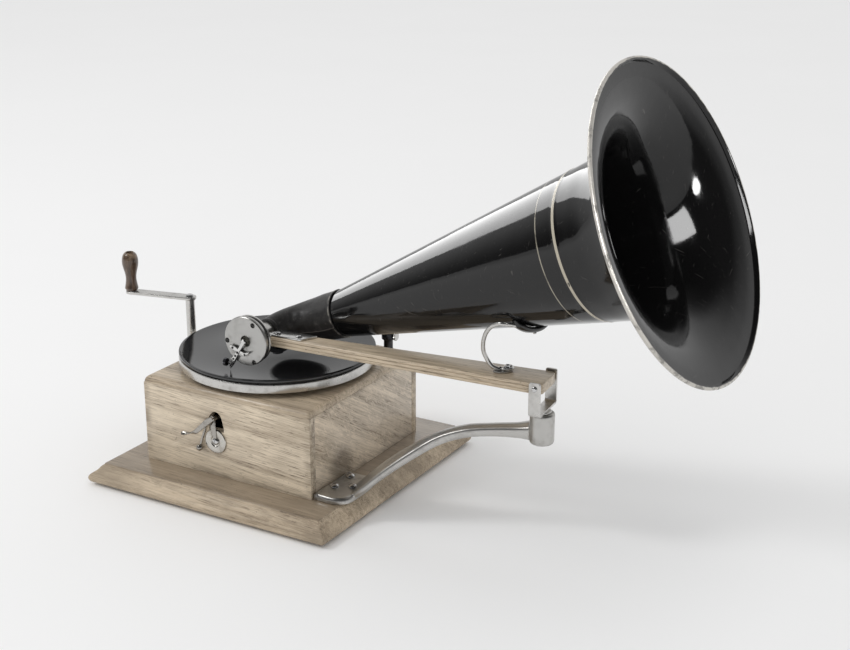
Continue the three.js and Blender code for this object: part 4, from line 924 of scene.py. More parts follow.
# ---------------------------------------------------------------- crank, left of the case
def crank():
    crank_x, crank_y = CRANK
    centre = (*CRANK, 0)
    shaft = lathe([(0, 22.6), (3.9, 22.6), (4.22, 22.95), (4.22, 143.8), (3.85, 144.18),
                   (0, 144.18)], 40, centre)
    square = stack([(rounded_rect(half, half, 0.9, 4), z) for z, half in
                    ((144.2, 2.38), (147.6, 2.38), (148.3, 2.1), (148.4, 1.6))],
                   lambda x, y, z: Vector((crank_x + x, crank_y + y, z)))
    teeth, root, tip, half_tooth, phase = 8, 5.8, 9.5, 0.4 * pi, -0.3572
    at_root, at_tip = (half_tooth + 0.2) / root, (half_tooth - 0.6) / tip
    outline = []
    for i in range(teeth):
        middle = tau * (i + 0.5) / teeth + phase
        for radius, turn in ((root, -at_root), (tip, -at_tip), (tip, at_tip), (root, at_root)):
            outline.append((crank_x + radius * cos(middle + turn),
                            crank_y + radius * sin(middle + turn)))
    make("crank_spindle", join(shaft, square, prism(outline, 25.2, 29.8)), NICKEL, "crank",
         "crank_shaft")

    yaw, reach = atan2(-13.7, -61.8), 60
    end = (crank_x + reach * cos(yaw), crank_y + reach * sin(yaw), 0)
    bar = []                       # two round ends with straight edges between
    for (x, y, _), radius, start in ((centre, 6, yaw + pi / 2), (end, 5.6, yaw - pi / 2)):
        bar += [(x + radius * cos(start + pi * i / 12), y + radius * sin(start + pi * i / 12))
                for i in range(13)]
    make("crank_bar", prism(bar, 144.35, 147.0), NICKEL, "crank", "crank_arm",
         edge=(0.55, 3, 40))

    pin = lathe([(0, 146.9), (2.15, 146.9), (2.15, 180.0), (3.1, 180.3), (3.2, 180.9),
                 (2.9, 181.4), (1.6, 181.9), (0, 182.1)], 28, end)
    under = lathe([(0, 143.2), (2.6, 143.2), (3.3, 143.8), (3.3, 144.4), (0, 144.4)], 28, end)
    nut = lathe([(0, 146.9), (3.9, 146.9), (3.9, 147.6), (3.4, 148.5), (2.2, 149.0),
                 (0, 149.1)], 28, centre)
    make("crank_pins", join(pin, under, nut), STEEL, "crank")

    foot = [(2.3, 147.45), (5.0, 147.45), (5.3, 147.7), (5.3, 148.4), (5.9, 148.7)]
    grip = [(6.25, 149.3), (6.2, 150.2), (5.7, 152.6), (5.2, 155.8), (4.95, 158.8), (5.1, 162),
            (5.7, 165.2), (6.6, 168.6), (7.3, 171.8), (7.6, 175.0), (7.35, 178.6),
            (6.4, 181.8), (5.0, 183.6), (4.0, 184.35)]
    bore = [(3.6, 184.2), (3.55, 180.4), (2.3, 179.9), foot[0]]
    make("crank_handle", lathe(foot + spline(grip, 4) + bore, 64, end), WALNUT, "crank_knob",
         "crank_knob", 36)


def crank_bracket():
    """Hollow low cover with a back plate on the case and a lug round the crank shaft."""
    outer = [(-88.9, -60), (-100, -60), (-107, -50), (-112.6, -32), (-114, -6), (-113.6, 8),
             (-108, 15.4), (-100, 18), (-88.9, 18)]
    inner = [(-86, -58.4), (-99.2, -58.4), (-105.6, -49.2), (-111, -31.6), (-112.5, -6),
             (-112.1, 7.2), (-107.2, 13.9), (-99.8, 16.4), (-86, 16.4)]
    plate = [(-88.9, -12), (-91.9, -12), (-91.9, 10), (-88.9, 10)]
    lug = [(-90, -9.2), (-90, 7.4), (-97, 6.8), (-103, 6.2), (-106.6, 4.2), (-108.8, 1.0),
           (-109.2, -1.2), (-108.8, -3.4), (-106.6, -6.6), (-103, -8.6), (-97, -9)]
    outer, inner = ([p[0], *spline(p[1:-1], 5), p[-1]] for p in (outer, inner))
    ob = add_object("winding_bracket", prism(outer, BASE_TOP + 0.05, 33.4), NICKEL_WORN)
    boolean(ob, "DIFFERENCE", prism(inner, 17, 30.6))
    boolean(ob, "UNION", prism(plate, 33, 84), prism(lug, 77, 84))
    boolean(ob, "DIFFERENCE", rod((*CRANK, 29), (*CRANK, 95), 4.4, 40))
    bevel(ob, 0.6, 2, 38)
    finish(ob, "case", "crank_bracket")
    heads = [screw((-91.9, -1 + y, z), (-1, 0, 0), 2.6, 1.3, 28, slot=0.6, turn=0.3 + z)
             for z in (40, 70) for y in (-8, 8)]
    make_screws("winding_bracket_screws", heads, STEEL, "case")


# ---------------------------------------------------------------- cast bracket and yoke
FLANGE_SCREWS = ((98, -66), (98.6, -42), (112, -59))


def bracket_limb():
    start_x, start_y = 102.2, -55.5
    along_x, along_y = 0.9747, 0.2235
    # distance along, height, half width, thickness
    stations = spline([(4, 22.0, 18, 4.4), (10, 22.9, 20, 5.4), (15, 25.2, 20.8, 6.6),
                       (24, 33, 21.0, 8.6), (40, 47.3, 18.0, 9.8), (60, 62.8, 13.3, 10),
                       (84, 78.8, 8.0, 10), (108, 88.6, 6.9, 10.2), (132, 92.9, 6.5, 10.6),
                       (152, 95, 7.0, 12.4), (163, 96.2, 8.4, 15.5)], 8)
    # across in half widths, up in half thicknesses
    section = [(-1, 0), (-0.97, -0.42), (-0.8, -0.82), (-0.45, -1), (0, -1.02), (0.45, -1),
               (0.8, -0.82), (0.97, -0.42), (1, 0), (0.98, 0.4), (0.84, 0.66), (0.62, 0.74),
               (0.46, 0.86), (0.3, 0.99), (0, 1.03), (-0.3, 0.99), (-0.46, 0.86),
               (-0.62, 0.74), (-0.84, 0.66), (-0.98, 0.4)]
    rings = []
    for before, (distance, height, half, thick), after in walk(stations):
        run, rise = after[0] - before[0], after[1] - before[1]
        length = hypot(run, rise)
        ring = []
        for a, b in section:
            up = b * thick / 2
            along = distance - rise / length * up
            ring.append(Vector((start_x + along_x * along - along_y * a * half,
                                start_y + along_y * along + along_x * a * half,
                                max(height + run / length * up, BASE_TOP + 0.05))))
        rings.append(ring)
    return skin(rings)


def bracket_flange():
    outline = [(90.6, -83.6), (93, -85.9), (99, -86.8), (106, -87.0), (112, -86.2),
               (117, -83.8), (120.3, -80), (121.8, -74), (122, -64), (122, -52), (121, -41),
               (118, -35.8), (112, -32.6), (105, -31.8), (98.5, -31.8), (93.5, -32.4),
               (90.8, -34.6)]
    points = [Vector((*p, 0)) for p in spline(outline, 3, loop=True)]
    centre = Vector((108, -60, 0))
    rings = []
    # outward offset, height
    for offset, z in ((0, 19.85), (0, 22.6), (-0.35, 24.2), (-1.2, 25.4), (-2.4, 26.0)):
        ring = []
        for k, point in enumerate(points):
            along = (points[(k + 1) % len(points)] - points[k - 1]).normalized()
            outward = Vector((along.y, -along.x, 0))
            if outward.dot(point - centre) < 0:
                outward = -outward
            ring.append(point + Vector((0, 0, z)) + outward * offset)
        rings.append(ring)
    return skin(rings)


def bracket():
    boss = lathe([(0, 88.6), (8.2, 88.6), (9.6, 89.3), (10.2, 90.8), (10.3, 113.6),
                  (10.0, 115.2), (8.8, 115.95), (0, 116)], 64, (BOSS_X, BOSS_Y, 0))
    ob = add_object("bracket_casting", bracket_limb())
    boolean(ob, "UNION", bracket_flange(), boss)
    apply_modifier(ob, "REMESH", mode="VOXEL", voxel_size=0.00075)
    apply_modifier(ob, "SMOOTH", factor=0.5, iterations=7)
    holes = [rod((x, y, 15), (x, y, 40), 2.0, 20) for x, y in FLANGE_SCREWS]
    below = prism([(60, -100), (140, -100), (140, -10), (60, -10)], 10, 19.86)
    # the last cut keeps the casting off the wooden base
    boolean(ob, "DIFFERENCE", rod((BOSS_X, BOSS_Y, 91.6), (BOSS_X, BOSS_Y, 130), 4.15, 40),
            *holes, below)
    ob.data.materials.clear()
    ob.data.materials.append(NICKEL_WORN)
    finish(ob, "case", "support_bracket", 50)
    for i, (x, y) in enumerate(FLANGE_SCREWS):
        head = screw((x, y, 26.08), (0, 0, 1), 3.9, 2.6, 40, slot=0.75, turn=0.5 + i, shaft=12)
        make_screws("flange_screw_%d" % (i + 1), [head], STEEL, "case",
                    "bracket_screw_%d" % (i + 1))


def yoke():
    """U-shaped strip with a stem in the boss and a pin across the beam."""
    half, bottom, bend, thick = 19.0, 118.4, 2.6, 1.9
    # across, height
    left = [(-half, z) for z in (147.0, 146.5, 145.6, 143, 132, bottom + 3.2)]
    for i in range(1, 6):
        angle = radians(90 * i / 6)
        left.append((-half + bend * (1 - cos(angle)), bottom + bend - bend * sin(angle)))
    left.append((-half + 3.2, bottom))
    path = left + [(0, bottom)] + [(-across, z) for across, z in left[::-1]]
    end_widths = {0: 3.9, 1: 4.6, 2: 4.95}         # half widths counted from either end
    rings = []
    for i, (before, (across, z), after) in enumerate(walk(path)):
        along = Vector((after[0] - before[0], after[1] - before[1])).normalized()
        normal_x, normal_z = -along.y * thick / 2, along.x * thick / 2
        wide = end_widths.get(min(i, len(path) - 1 - i), 5.0)
        edge = wide - 0.3
        section = [(-wide, -0.65), (-edge, -1), (edge, -1), (wide, -0.65), (wide, 0.65),
                   (edge, 1), (-edge, 1), (-wide, 0.65)]
        rings.append([beam_point(a, across + normal_x * b, z + normal_z * b)
                      for a, b in section])
    boss = (BOSS_X, BOSS_Y, 0)
    stem = lathe([(0, 92.1), (3.7, 92.1), (4, 92.5), (4, 117.8), (0, 117.8)], 40, boss)
    washer = lathe([(0, 116.12), (7.2, 116.12), (7.6, 116.35), (7.6, 117.0), (6.8, 117.5),
                    (0, 117.6)], 48, boss)
    make("yoke_strip", join(skin(rings), stem, washer), NICKEL, "yoke", "yoke", 34)
    outward = beam_point(0, 1, 0) - beam_point(0, 0, 0)
    heads = [screw(beam_point(0, sign * 20.0, YOKE_PIN_Z), outward * sign, 2.4, 1.5, slot=0.45,
                   turn=turn, sink=0.1) for sign, turn in ((1, 0.9), (-1, 0.3))]
    make_screws("yoke_pin_heads", heads, STEEL, "yoke", "yoke_pin")
    pin = rod(beam_point(0, -20.2, YOKE_PIN_Z), beam_point(0, 20.2, YOKE_PIN_Z), 1.5)
    make("yoke_pin_rod", pin, STEEL, "yoke")


def beam():
    """Tapering board with two grooves along each side and a rounded end at the yoke."""
    corner = [(0.9, 0), (0.35, 0.15), (0.05, 0.5), (0, 0.9)]       # inset, drop
    grooves = [(0, 2.55), (0.25, 2.68), (0.75, 2.78), (0.75, 3.02), (0.25, 3.12), (0, 3.25),
               (0, 5.65), (0.25, 5.78), (0.6, 5.88), (0.6, 6.08), (0.25, 6.18), (0, 6.3)]
    stations = ([-250, -249.7, -249.1] + [-248 + i * 12 for i in range(21)]
                + [-4, -1, 0.8, 2.0, 3.0, 3.8, 4.4, 4.8, 5.0])
    rings = []
    for x in stations:
        half = max(15.9 + (x + 20) * 0.0372, 7.4)
        if x > -1:
            turn = min((x + 1) / 6.0, 1.0)
            half *= 1 - 0.24 * (1 - sqrt(max(0, 1 - turn ** 2.2)))
        ease = 0.0                 # end edges eased off
        if x < -249:
            ease = min(0.5, (-249 - x) * 0.5)
        if x > 4.2:
            ease = 0.5 * min(1, (x - 4.2) / 0.8) ** 1.5
        half -= ease
        top, bottom = BEAM_TOP - ease, BEAM_TOP - BEAM_DEPTH + ease
        side = ([(inset - half, top - drop) for inset, drop in corner]
                + [(inset - half, BEAM_TOP - drop) for inset, drop in grooves]
                + [(inset - half, bottom + rise) for inset, rise in corner[::-1]])
        rings.append([beam_point(x, across, z) for across, z in side]
                     + [beam_point(x, -across, z) for across, z in side[::-1]])
    make("beam_board", skin(rings), OAK_BEAM, "arm", "tone_beam", 26)


# ---------------------------------------------------------------- soundbox, facing the front
def turned(profile, sides):
    """Lathe about the soundbox axis: radius, y."""
    return lathe(profile, sides, (TUBE_X, 0, TUBE_Z), Y_AXES)


def soundbox():
    mesh = turned([(6.8, -34.3), (7.5, -34.3), (7.85, -34.7), (7.9, -35.4), (7.9, -49.7),
                   (8.7, -49.9), (8.7, -58.0), (9.4, -58.9), (12, -59.4), (19.2, -59.7),
                   (20.4, -60.2), (21.2, -61.2), (21.2, -62.9), (20.8, -63.4), (6.8, -63.4),
                   (6.8, -34.3)], 96)
    make("soundbox_back", mesh, NICKEL, "arm", "soundbox_housing", 30)
    mesh = turned([(16.6, -63.5), (20.2, -63.5), (20.75, -64.0), (20.85, -64.9),
                   (20.75, -65.8), (20.2, -66.3), (16.6, -66.3), (16.6, -63.5)], 96)
    make("soundbox_ring", mesh, RUBBER, "arm", "soundbox_gasket", 40)
    mesh = turned([(0, -64.72), (16.4, -64.72), (16.4, -65), (0, -65)], 72)
    make("soundbox_mica", mesh, MICA, "arm", "diaphragm", 30)
    mesh = turned([(4.4, -66.42), (21.2, -66.42), (21.8, -66.8), (22, -67.4), (22, -69.2),
                   (21.8, -69.9), (21.2, -70.35), (20.6, -70.4), (5.6, -70.4), (4.9, -70.1),
                   (4.5, -69.5), (4.4, -68.9), (4.4, -66.42)], 120)
    rim = ((20.6, 159.9), (-7.0, 142.0), (20.6, 126.4))            # x, z of the rim screws
    make("soundbox_cover", mesh, FACE, "arm", "soundbox_face", 28,
         cuts=[rod((x, -69.0, z), (x, -72, z), 2.3, 28) for x, z in rim])
    heads = [screw((x, -69.05, z), (0, -1, 0), 1.95, 1.2, 28, turn=0.9 + k * 1.3, sink=0.1)
             for k, (x, z) in enumerate(rim)]
    make_screws("soundbox_rim_screws", heads, DARK_SCREW, "arm")
    posts = [rod((x, -70.3, z), (x, -72.2, z), 1.5) for x, z in ((0.4, 137.6), (13.4, 133.0))]
    make("stylus_posts", join(*posts), NICKEL, "arm")


def stylus():
    """Flat lever from the middle of the diaphragm down to the needle, with its screws."""
    # x, z, half width
    path = spline([(12.0, 144.9, 1.5), (11.0, 142.2, 1.9), (8.6, 138.4, 1.7),
                   (5.8, 134.2, 1.8), (3.2, 130.2, 2.1), (0.9, 126.8, 2.4),
                   (-1.2, 123.6, 2.6), (-2.3, 121.0, 2.1)], 5)
    # across in half widths, y offset
    section = [(-1, 0.7), (-0.75, 1.1), (0.75, 1.1), (1, 0.7), (1, -0.7), (0.7, -1.25),
               (0, -1.4), (-0.7, -1.25)]
    rings = []
    for before, (x, z, half), after in walk(path):
        normal = upright_frame(before, after)[1]
        rings.append([Vector((x, -72.5 + b, z)) + normal * (half * a) for a, b in section])
    outline = [(-2.2, 139.6), (-2.8, 137.2), (0.4, 134.9), (5.4, 132.0), (8.4, 130.9),
               (12.4, 131.2), (17.6, 135.4), (17.4, 136.3), (12.6, 134.6), (8.2, 136.0),
               (3.2, 138.9)]
    wing = stack([(outline, y) for y in (-72.0, -72.4, -73.0, -73.3)], front_point)
    foot = turned([(0, -65.15), (1.5, -65.15), (1.5, -71.5), (2.3, -71.6), (2.3, -73.2),
                   (1.7, -73.8), (0, -73.9)], 28)
    chuck = rod((-0.5, -72.62, 127.4), (-2.85, -72.53, 118.9), 1.9, 28, 1.35)
    make("stylus_lever", join(skin(rings), wing, foot, chuck), NICKEL_BRIGHT, "stylus",
         "stylus_bar", edge=(0.2, 2, 50))
    # x, y, z, radius, turn of the slot, sink
    heads = [screw((x, y, z), (0, -1, 0), radius, 0.6, 20, slot=0.3, turn=turn, sink=sink)
             for x, y, z, radius, turn, sink in (
                 (0.3, -73.25, 137.3, 1.1, 0.3, 0.1), (13.0, -73.25, 133.0, 1.0, 1.1, 0.1),
                 (5.6, -73.8, 133.9, 1.15, 1.9, 0.2), (3.4, -73.8, 130.5, 1.1, 0.7, 0.2),
                 (1.3, -73.8, 127.4, 1.0, 0.7, 0.2))]
    make_screws("stylus_screws", heads, DARK_SCREW, "stylus")
    top, point = Vector((-1.75, -72.58, 125.2)), Vector((-3.2, -72.5, 116.62))
    needle = lathe([(0, 0), (0.55, 0.1), (0.55, 6.2), (0.42, 7.2), (0.2, 8.2), (0.06, 8.65),
                    (0, 8.7)], 20, top, axes_along(point - top))
    make("needle_steel", needle, STEEL, "stylus", "needle", 30)
    towards_left = (Vector((0, 1, 0)), Vector((0, 0, -1)), Vector((-1, 0, 0)))
    head = lathe([(0, 0), (1.0, 0), (1.0, 2.9), (3.0, 3.0), (3.35, 3.25), (3.35, 5.6),
                  (3.0, 5.9), (2.2, 5.95), (1.9, 5.6), (0, 5.5)], 144,
                 (-3.4, -72.6, 122.6), towards_left, knurl(0.12, 36))
    make("needle_screw_head", head, BLUED, "needle_screw", "needle_screw", 30)


def soundbox_mount():
    """Clamp ring on the tube, with a plate screwed to the beam, and the elbow's collar."""
    ring = turned([(8.78, -58.25), (9.95, -58.25), (10.2, -57.9), (10.2, -50.8),
                   (9.95, -50.45), (8.78, -50.45), (8.78, -58.25)], 72)
    plate = prism([(-249.5, -6.4), (-221, -7.6), (-218.9, -7.5), (-218.2, -6.6), (-210.6, 5.9),
                   (-210.6, 7.0), (-211.6, 7.3), (-249.5, 6.3)], ON_BEAM, ON_BEAM + 1.55,
                  beam_point)
    neck = prism([(TUBE_X + 9.0, -57.2), beam_point(-248, -6.3, 0)[:2],
                  beam_point(-248, 6.2, 0)[:2], (TUBE_X + 9.0, -50.8)],
                 ON_BEAM - 0.05, ON_BEAM + 1.6)
    make("soundbox_mount", join(plate, neck, ring), NICKEL_BRIGHT, "arm",
         "soundbox_bracket", edge=(0.3, 2, 40))
    heads = [screw(beam_point(along, -2.4, ON_BEAM + 1.6), (0, 0, 1), 2.9, 1.7, slot=0.6,
                   turn=turn, sink=0.15) for along, turn in ((-244, 0.4), (-223, 1.3))]
    make_screws("soundbox_mount_screws", heads, STEEL, "arm")
    collar = turned([(8.0, -37.6), (9.6, -37.6), (10.3, -37.2), (10.7, -36.3), (10.6, -35.2),
                     (10.1, -34.6), (8.2, -34.6), (8.0, -37.6)], 64)
    make("elbow_collar", collar, LEATHER, "arm", angle=40)


# ---------------------------------------------------------------- horn and leather elbow
def horn():
    # distance from the apex, radius: straight cone, then the flaring bell
    stations = [(s, s * HORN_SLOPE) for s in (110, 122, 200, 280, 340, 380)]
    stations += [(399, 63.2), (415, 66.6), (432, 73.6), (444, 83.4), (452.6, 97.6),
                 (457.4, 112), (460, 126)]
    path = [p for p in spline(stations, 9) if p[0] >= 121.99]
    # a raised step where bell and cone meet
    outer = [(r + (0.35 if 386.2 < s < 388.8 else 0.0), s) for s, r in path]
    wall = 0.9
    inner = []
    for before, (s, r), after in walk(path):
        run, rise = after[0] - before[0], after[1] - before[1]
        length = hypot(run, rise)
        inner.append((r - run / length * wall, s + rise / length * wall))
    lip_radius, lip_along, lip_bead = 126.9, 461.9, 1.72
    lip = []
    for i in range(15):
        angle = radians(-135 + 285 * i / 14)
        lip.append((lip_radius + lip_bead * cos(angle), lip_along + lip_bead * sin(angle)))
    profile = outer[:-1] + lip + inner[-2::-1]
    seam = pi * 1.42

    def hammered(angle, k, radius):
        """A lapped seam along the outside and a slightly uneven round."""
        away = abs((angle - seam + pi) % tau - pi) * radius
        lap = 0.32 / (1 + exp(min((away - 2.6) * 2.4, 40))) if k < len(outer) - 6 else 0
        flare = min(1, max(0, (radius - 62) / 60))
        return (radius + lap + 0.18 * sin(3 * angle + 0.6) * flare
                + 0.12 * sin(5 * angle + radius * 0.02))

    mesh = lathe(profile + profile[:1], 200, HORN_APEX, (HORN_SIDE, HORN_UP, HORN_AXIS),
                 hammered)
    make("horn_cone_and_bell", mesh, HORN, "horn", "horn", 42)


def bezier(p0, p1, p2, p3, t):
    a = 1 - t
    return p0 * (a ** 3) + p1 * (3 * a * a * t) + p2 * (3 * a * t * t) + p3 * (t ** 3)


def elbow():
    horn_along = 136.0             # where the curve meets the horn's axis
    start, end = Vector((TUBE_X, -36, TUBE_Z)), horn_point(horn_along, 0, 0)
    curve = (start, start + Vector((0, 22, 0)), end - HORN_AXIS * 42, end)
    steps = 400
    points = [bezier(*curve, i / steps) for i in range(steps + 1)]
    lengths = [0.0]
    for i in range(steps):
        lengths.append(lengths[-1] + (points[i + 1] - points[i]).length)
    total = lengths[-1]
    stop = 1 - 7.0 / total         # the leather ends 7 mm before the curve does
    seam = 3.55
    end_radius = horn_along * HORN_SLOPE + 2.6

    def station(t):
        """Centre, direction, side and up at a fraction t of the curve's length."""
        want, low = t * total, 0
        while low < steps - 1 and lengths[low + 1] < want:
            low += 1
        u = (low + (want - lengths[low]) / (lengths[low + 1] - lengths[low])) / steps
        before, after = max(u - 1e-3, 0), min(u + 1e-3, 1)
        along = (bezier(*curve, after) - bezier(*curve, before)).normalized()
        side = Vector((0, 0, 1)).cross(along).normalized()
        return bezier(*curve, u), along, side, along.cross(side)

    def radius_at(t):
        return 10.0 + (end_radius - 10.0) * t ** 0.85

    def taper(t):
        """0 to 1 over the last stretch before the wide end."""
        e = min(1.0, max(0.0, (18 - (stop - t) * total) / 16))
        return e * e * (3 - 2 * e)

    sides, rows = 96, 120
    outer, inner = [], []
    for i in range(rows + 1):
        t = stop * i / rows
        centre, _, side, up = station(t)
        radius, narrow = radius_at(t), taper(t)
        to_end = (stop - t) * total
        fade = sin(pi * min(max((t - 0.05) / 0.8, 0), 1))
        outer_ring, inner_ring = [], []
        for j in range(sides):
            a = tau * j / sides
            out = side * cos(a) + up * sin(a)
            # folds on one side of the bend, fading at both ends, and small ripples
            fold = max(0.0, out.dot(Vector((0.86, -0.35, 0.1)))) ** 1.5
            wave = 0.5 + 0.5 * cos(tau * (t * 6.5 + 0.10 * sin(3 * a)))
            lift = -0.55 * fold * fade * wave
            lift += 0.14 * sin(7 * a + 9 * t) * sin(11 * t + 2 * a) * fade
            # lapped seam
            x = ((a - seam + pi) % tau - pi) * radius
            if -3.4 < x < 0.6:
                lift += (0.42 * min(1.0, x + 3.4) * (1 if x < 0 else (0.6 - x) / 0.6)
                         * min(1, t * 12))
            lift -= 1.12 * narrow
            if to_end < 5.2:       # welt at the wide end
                lift += 0.16 * sin(pi * min(1, to_end / 5.2)) ** 0.5 - 0.12
            outer_ring.append(centre + out * (radius - 0.1 + min(lift, 0.35)))
            inner_ring.append(centre + out * (radius - 1.62 - 0.62 * narrow))
        outer.append(outer_ring)
        inner.append(inner_ring)
    make("elbow_leather", skin(outer + inner[::-1], loop=True), LEATHER, "arm",
         "leather_elbow", 60)

    stitches = []
    for k in range(26):
        t = 0.08 + 0.84 * k / 26
        centre, along, side, up = station(t)
        radius = radius_at(t) + 0.3 - 1.12 * taper(t)
        a = seam - 1.7 / radius
        out = side * cos(a) + up * sin(a)
        p = centre + out * radius
        stitches.append(tube([p - along * 0.9, p + out * 0.12, p + along * 0.9], 0.27, 8, 2))
    make("elbow_stitches", join(*stitches), THREAD, "arm", angle=50)


# ---------------------------------------------------------------- rests
def horn_rest():
    """Crescent pad under the horn on a bent wire that rises from the beam."""
    pad_along = 316.0

    def under(s):
        return s * HORN_SLOPE + 0.35

    rings = []
    for i in range(61):
        u = i / 60
        angle = radians(-44 + 72 * u)
        grow = min(1, 0.35 + u * 9)
        wide = (5.2 * sin(pi * (0.14 + 0.78 * u)) ** 0.6
                * (1 - 0.86 * max(0, (u - 0.72) / 0.28) ** 1.6)) * sqrt(grow)
        thick = 0.7 + 4.4 * max(0.0, sin(pi * min(0.26 + 0.74 * u, 1))) ** 0.9
        ring = []
        for k in range(20):
            c, s = cos(tau * k / 20), sin(tau * k / 20)
            along = pad_along + copysign(abs(c) ** 0.8, c) * wide
            lift = thick * 0.5 * (1 + copysign(abs(s) ** 0.9, s)) * grow
            ring.append(horn_point(along, under(along) + lift, angle - pi / 2))
        rings.append(ring)
    make("horn_pad", skin(rings), GLOSS, "arm", "horn_cradle", 50)

    # along and across the beam
    foot = [(-41, -6.9), (-38.6, -7.8), (-34.6, -7.4), (-30.4, -4.6), (-27.8, -1.6),
            (-27.2, 2.6), (-29.2, 5.6), (-32.4, 6.4), (-36.4, 4.8), (-39.6, 0.4)]
    mesh = prism(spline(foot, 4, loop=True), ON_BEAM, ON_BEAM + 1.5, beam_point)
    make("wire_foot", mesh, NICKEL_WORN, "arm", edge=(0.35, 2, 40))

    socket = horn_point(pad_along - 1, under(pad_along) + 2.6, radians(-38) - pi / 2)
    wire = tube([(236.8, -27.4, 147.9), (235.4, -29.6, 147.9), (231, -32, 150.6),
                 (227.2, -33.6, 156.4), (225.2, -36, 164), (226.2, -38.4, 172.4),
                 (229.4, -40.6, 180.6), (234.6, -42.6, 187.4), (241, -43.6, 191.6),
                 (247.6, -42.8, 192.6), socket], 1.78, 20, 8)
    x, y = beam_point(-32.3, 1.6, 0)[:2]           # the wire curls round this screw
    start = atan2(-27.4 - y, 236.8 - x)
    curl = [(x + 4.9 * cos(start + i * 0.5), y + 4.9 * sin(start + i * 0.5), ON_BEAM + 2.7)
            for i in range(10)]
    curl = tube([(236.9, -27.6, 148.0)] + curl, 1.15, 14, 5)
    make("rest_wire", join(wire, curl), NICKEL, "arm", "horn_rest_wire", 40)
    head = screw((x, y, ON_BEAM + 1.6), (0, 0, 1), 3.3, 2.3, slot=0.6, turn=0.8, shaft=8)
    make_screws("rest_screw", [head], STEEL, "arm", "horn_rest_screw")

    along = pad_along + 1.2
    at = horn_point(along, under(pad_along) + 5.4, radians(-14) - pi / 2)
    rivet, _ = screw(at, at - horn_point(along, 0, 0), 1.5, 0.9, 24, sink=1.2)
    make("pad_rivet", rivet, NICKEL_BRIGHT, "arm", angle=40)


def arm_rest():
    screw_at = (*REST_POST, 117.6)
    post = lathe([(0, 95), (2.45, 95), (2.45, 99.8), (7.2, 99.8), (7.5, 100.2), (7.5, 101.1),
                  (7.0, 101.8), (5.2, 102.5), (4.5, 103.6), (4.25, 105), (4.25, 112.4),
                  (4.6, 113.4), (5.8, 114.0), (6.2, 114.7), (6.2, 120.3), (5.8, 121.3),
                  (4.6, 121.9), (0, 122)], 56, (*REST_POST, 0))
    make("rest_post", post, BLUED, "case", "arm_rest_post", 30,
         cuts=[rod(screw_at, Vector(screw_at) + Vector((12, 0, 0)), 1.4)])
    head = lathe([(0, 1.4), (1.25, 1.4), (1.25, 7.2), (3.5, 7.2), (3.8, 7.45), (3.8, 9.0),
                  (3.5, 9.3), (2.4, 9.38), (0, 9.2)], 120, screw_at, X_AXES, knurl(0.16, 30))
    make("rest_thumbscrew", head, NICKEL, "thumbscrew", "arm_rest_thumbscrew", 30)


# ---------------------------------------------------------------- floor, light, camera (metres)
def floor():
    half = 14.0
    mesh = bpy.data.meshes.new("floor")
    mesh.from_pydata([(-half, -half, 0), (half, -half, 0), (half, half, 0), (-half, half, 0)],
                     [], [(0, 1, 2, 3)])
    ob = bpy.data.objects.new("floor", mesh)
    bpy.context.scene.collection.objects.link(ob)
    pale = Surface("floor_pale")
    color = pale.ramp(pale.noise(3, detail=3), (0.3, (0.930,) * 3), (0.7, (0.938,) * 3))
    mesh.materials.append(pale.done(color=color, rough=0.9, specular=0.0))


def world():
    """Even light on matt surfaces, a lit backdrop in the glossy ones."""
    studio = bpy.data.worlds.new("studio")
    bpy.context.scene.world = studio
    studio.use_nodes = True
    studio.node_tree.nodes.clear()
    sky = Nodes(studio.node_tree)
    view = (-0.50, 0.866, 0.0)     # level direction the camera looks along
    direction = sky.field("ShaderNodeTexCoord", output="Generated")
    ahead = sky.vector("DOT_PRODUCT", direction, view)
    back = sky.smooth(ahead, low=-0.1, high=0.5, at_low=0.045, at_high=0.92)
    high = sky.smooth(sky.split(direction)[2], low=0.58, high=0.96, at_low=1.0, at_high=0.16)
    backdrop = sky.field("ShaderNodeMath", {0: back, 1: high}, operation="MULTIPLY")
    glossy = sky.field("ShaderNodeLightPath", output="Is Glossy Ray")
    matt_strength = 1.03
    strength = sky.field("ShaderNodeMix", {0: glossy, 2: matt_strength, 3: backdrop},
                         data_type="FLOAT")
    background = sky.field("ShaderNodeBackground", {"Strength": strength})
    sky.add("ShaderNodeOutputWorld", {0: background})


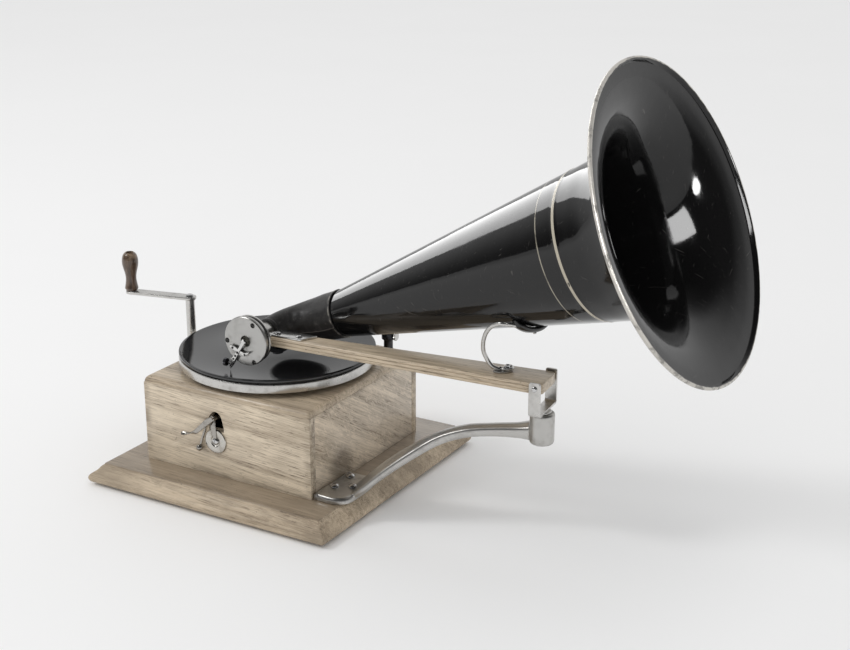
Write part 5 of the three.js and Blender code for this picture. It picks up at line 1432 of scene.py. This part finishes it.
def area_light(name, at, target, width, height, radiance, shape="RECTANGLE", only=None):
    """Area light; with `only` it shows just in the reflections of that collection."""
    light = bpy.data.lights.new(name, "AREA")
    light.shape = shape
    light.size, light.size_y = width, height
    light.energy = radiance * pi * width * height * (pi / 4 if shape == "ELLIPSE" else 1)
    ob = bpy.data.objects.new(name, light)
    bpy.context.scene.collection.objects.link(ob)
    ob.location = at
    aim = Vector(target) - Vector(at)
    ob.rotation_euler = aim.to_track_quat("-Z", "Y").to_euler()
    ob.visible_camera = False
    if only:
        ob.visible_diffuse = False
        ob.light_linking.receiver_collection = only


def lights():
    shiny = bpy.data.collections.new("horn_reflections")
    shiny.objects.link(bpy.data.objects["horn_cone_and_bell"])
    area_light("key", (-1.7, -1.5, 2.3), (0.05, 0, 0.1), 0.7, 0.7, radiance=13)
    area_light("patch", (1.03, -1.9, 1.05), (0.35, 0.06, 0.26), 1.45, 1.25, radiance=14,
               only=shiny)
    area_light("round", (2.6, -0.44, 0.52), (0.355, 0.076, 0.291), 0.92, 0.36, radiance=34,
               shape="ELLIPSE", only=shiny)
    area_light("side", (-1.42, 0.80, 0.98), (0.22, 0.0, 0.24), 1.5, 1.05, radiance=4.2,
               only=shiny)


def camera():
    scene = bpy.context.scene
    data = bpy.data.cameras.new("camera")
    ob = bpy.data.objects.new("camera", data)
    scene.collection.objects.link(ob)
    data.sensor_width, data.lens = 36, 64.5
    data.clip_end = 50
    turn, drop = radians(30.131), radians(19.059)
    aim = Vector((-sin(turn) * cos(drop), cos(turn) * cos(drop), -sin(drop)))
    ob.location = (0.7635, -1.0575, 0.5844)
    ob.rotation_euler = aim.to_track_quat("-Z", "Y").to_euler()
    scene.camera = ob
    scene.view_settings.view_transform = "Standard"
    scene.view_settings.look = "None"


paint_kept_nodes()
for build in (base, case, front_disc, front_tongue, speed_lever, speed_rod, turntable, crank,
              crank_bracket, bracket, yoke, beam, soundbox, stylus, soundbox_mount, horn,
              elbow, horn_rest, arm_rest, floor, world, lights, camera):
    build()
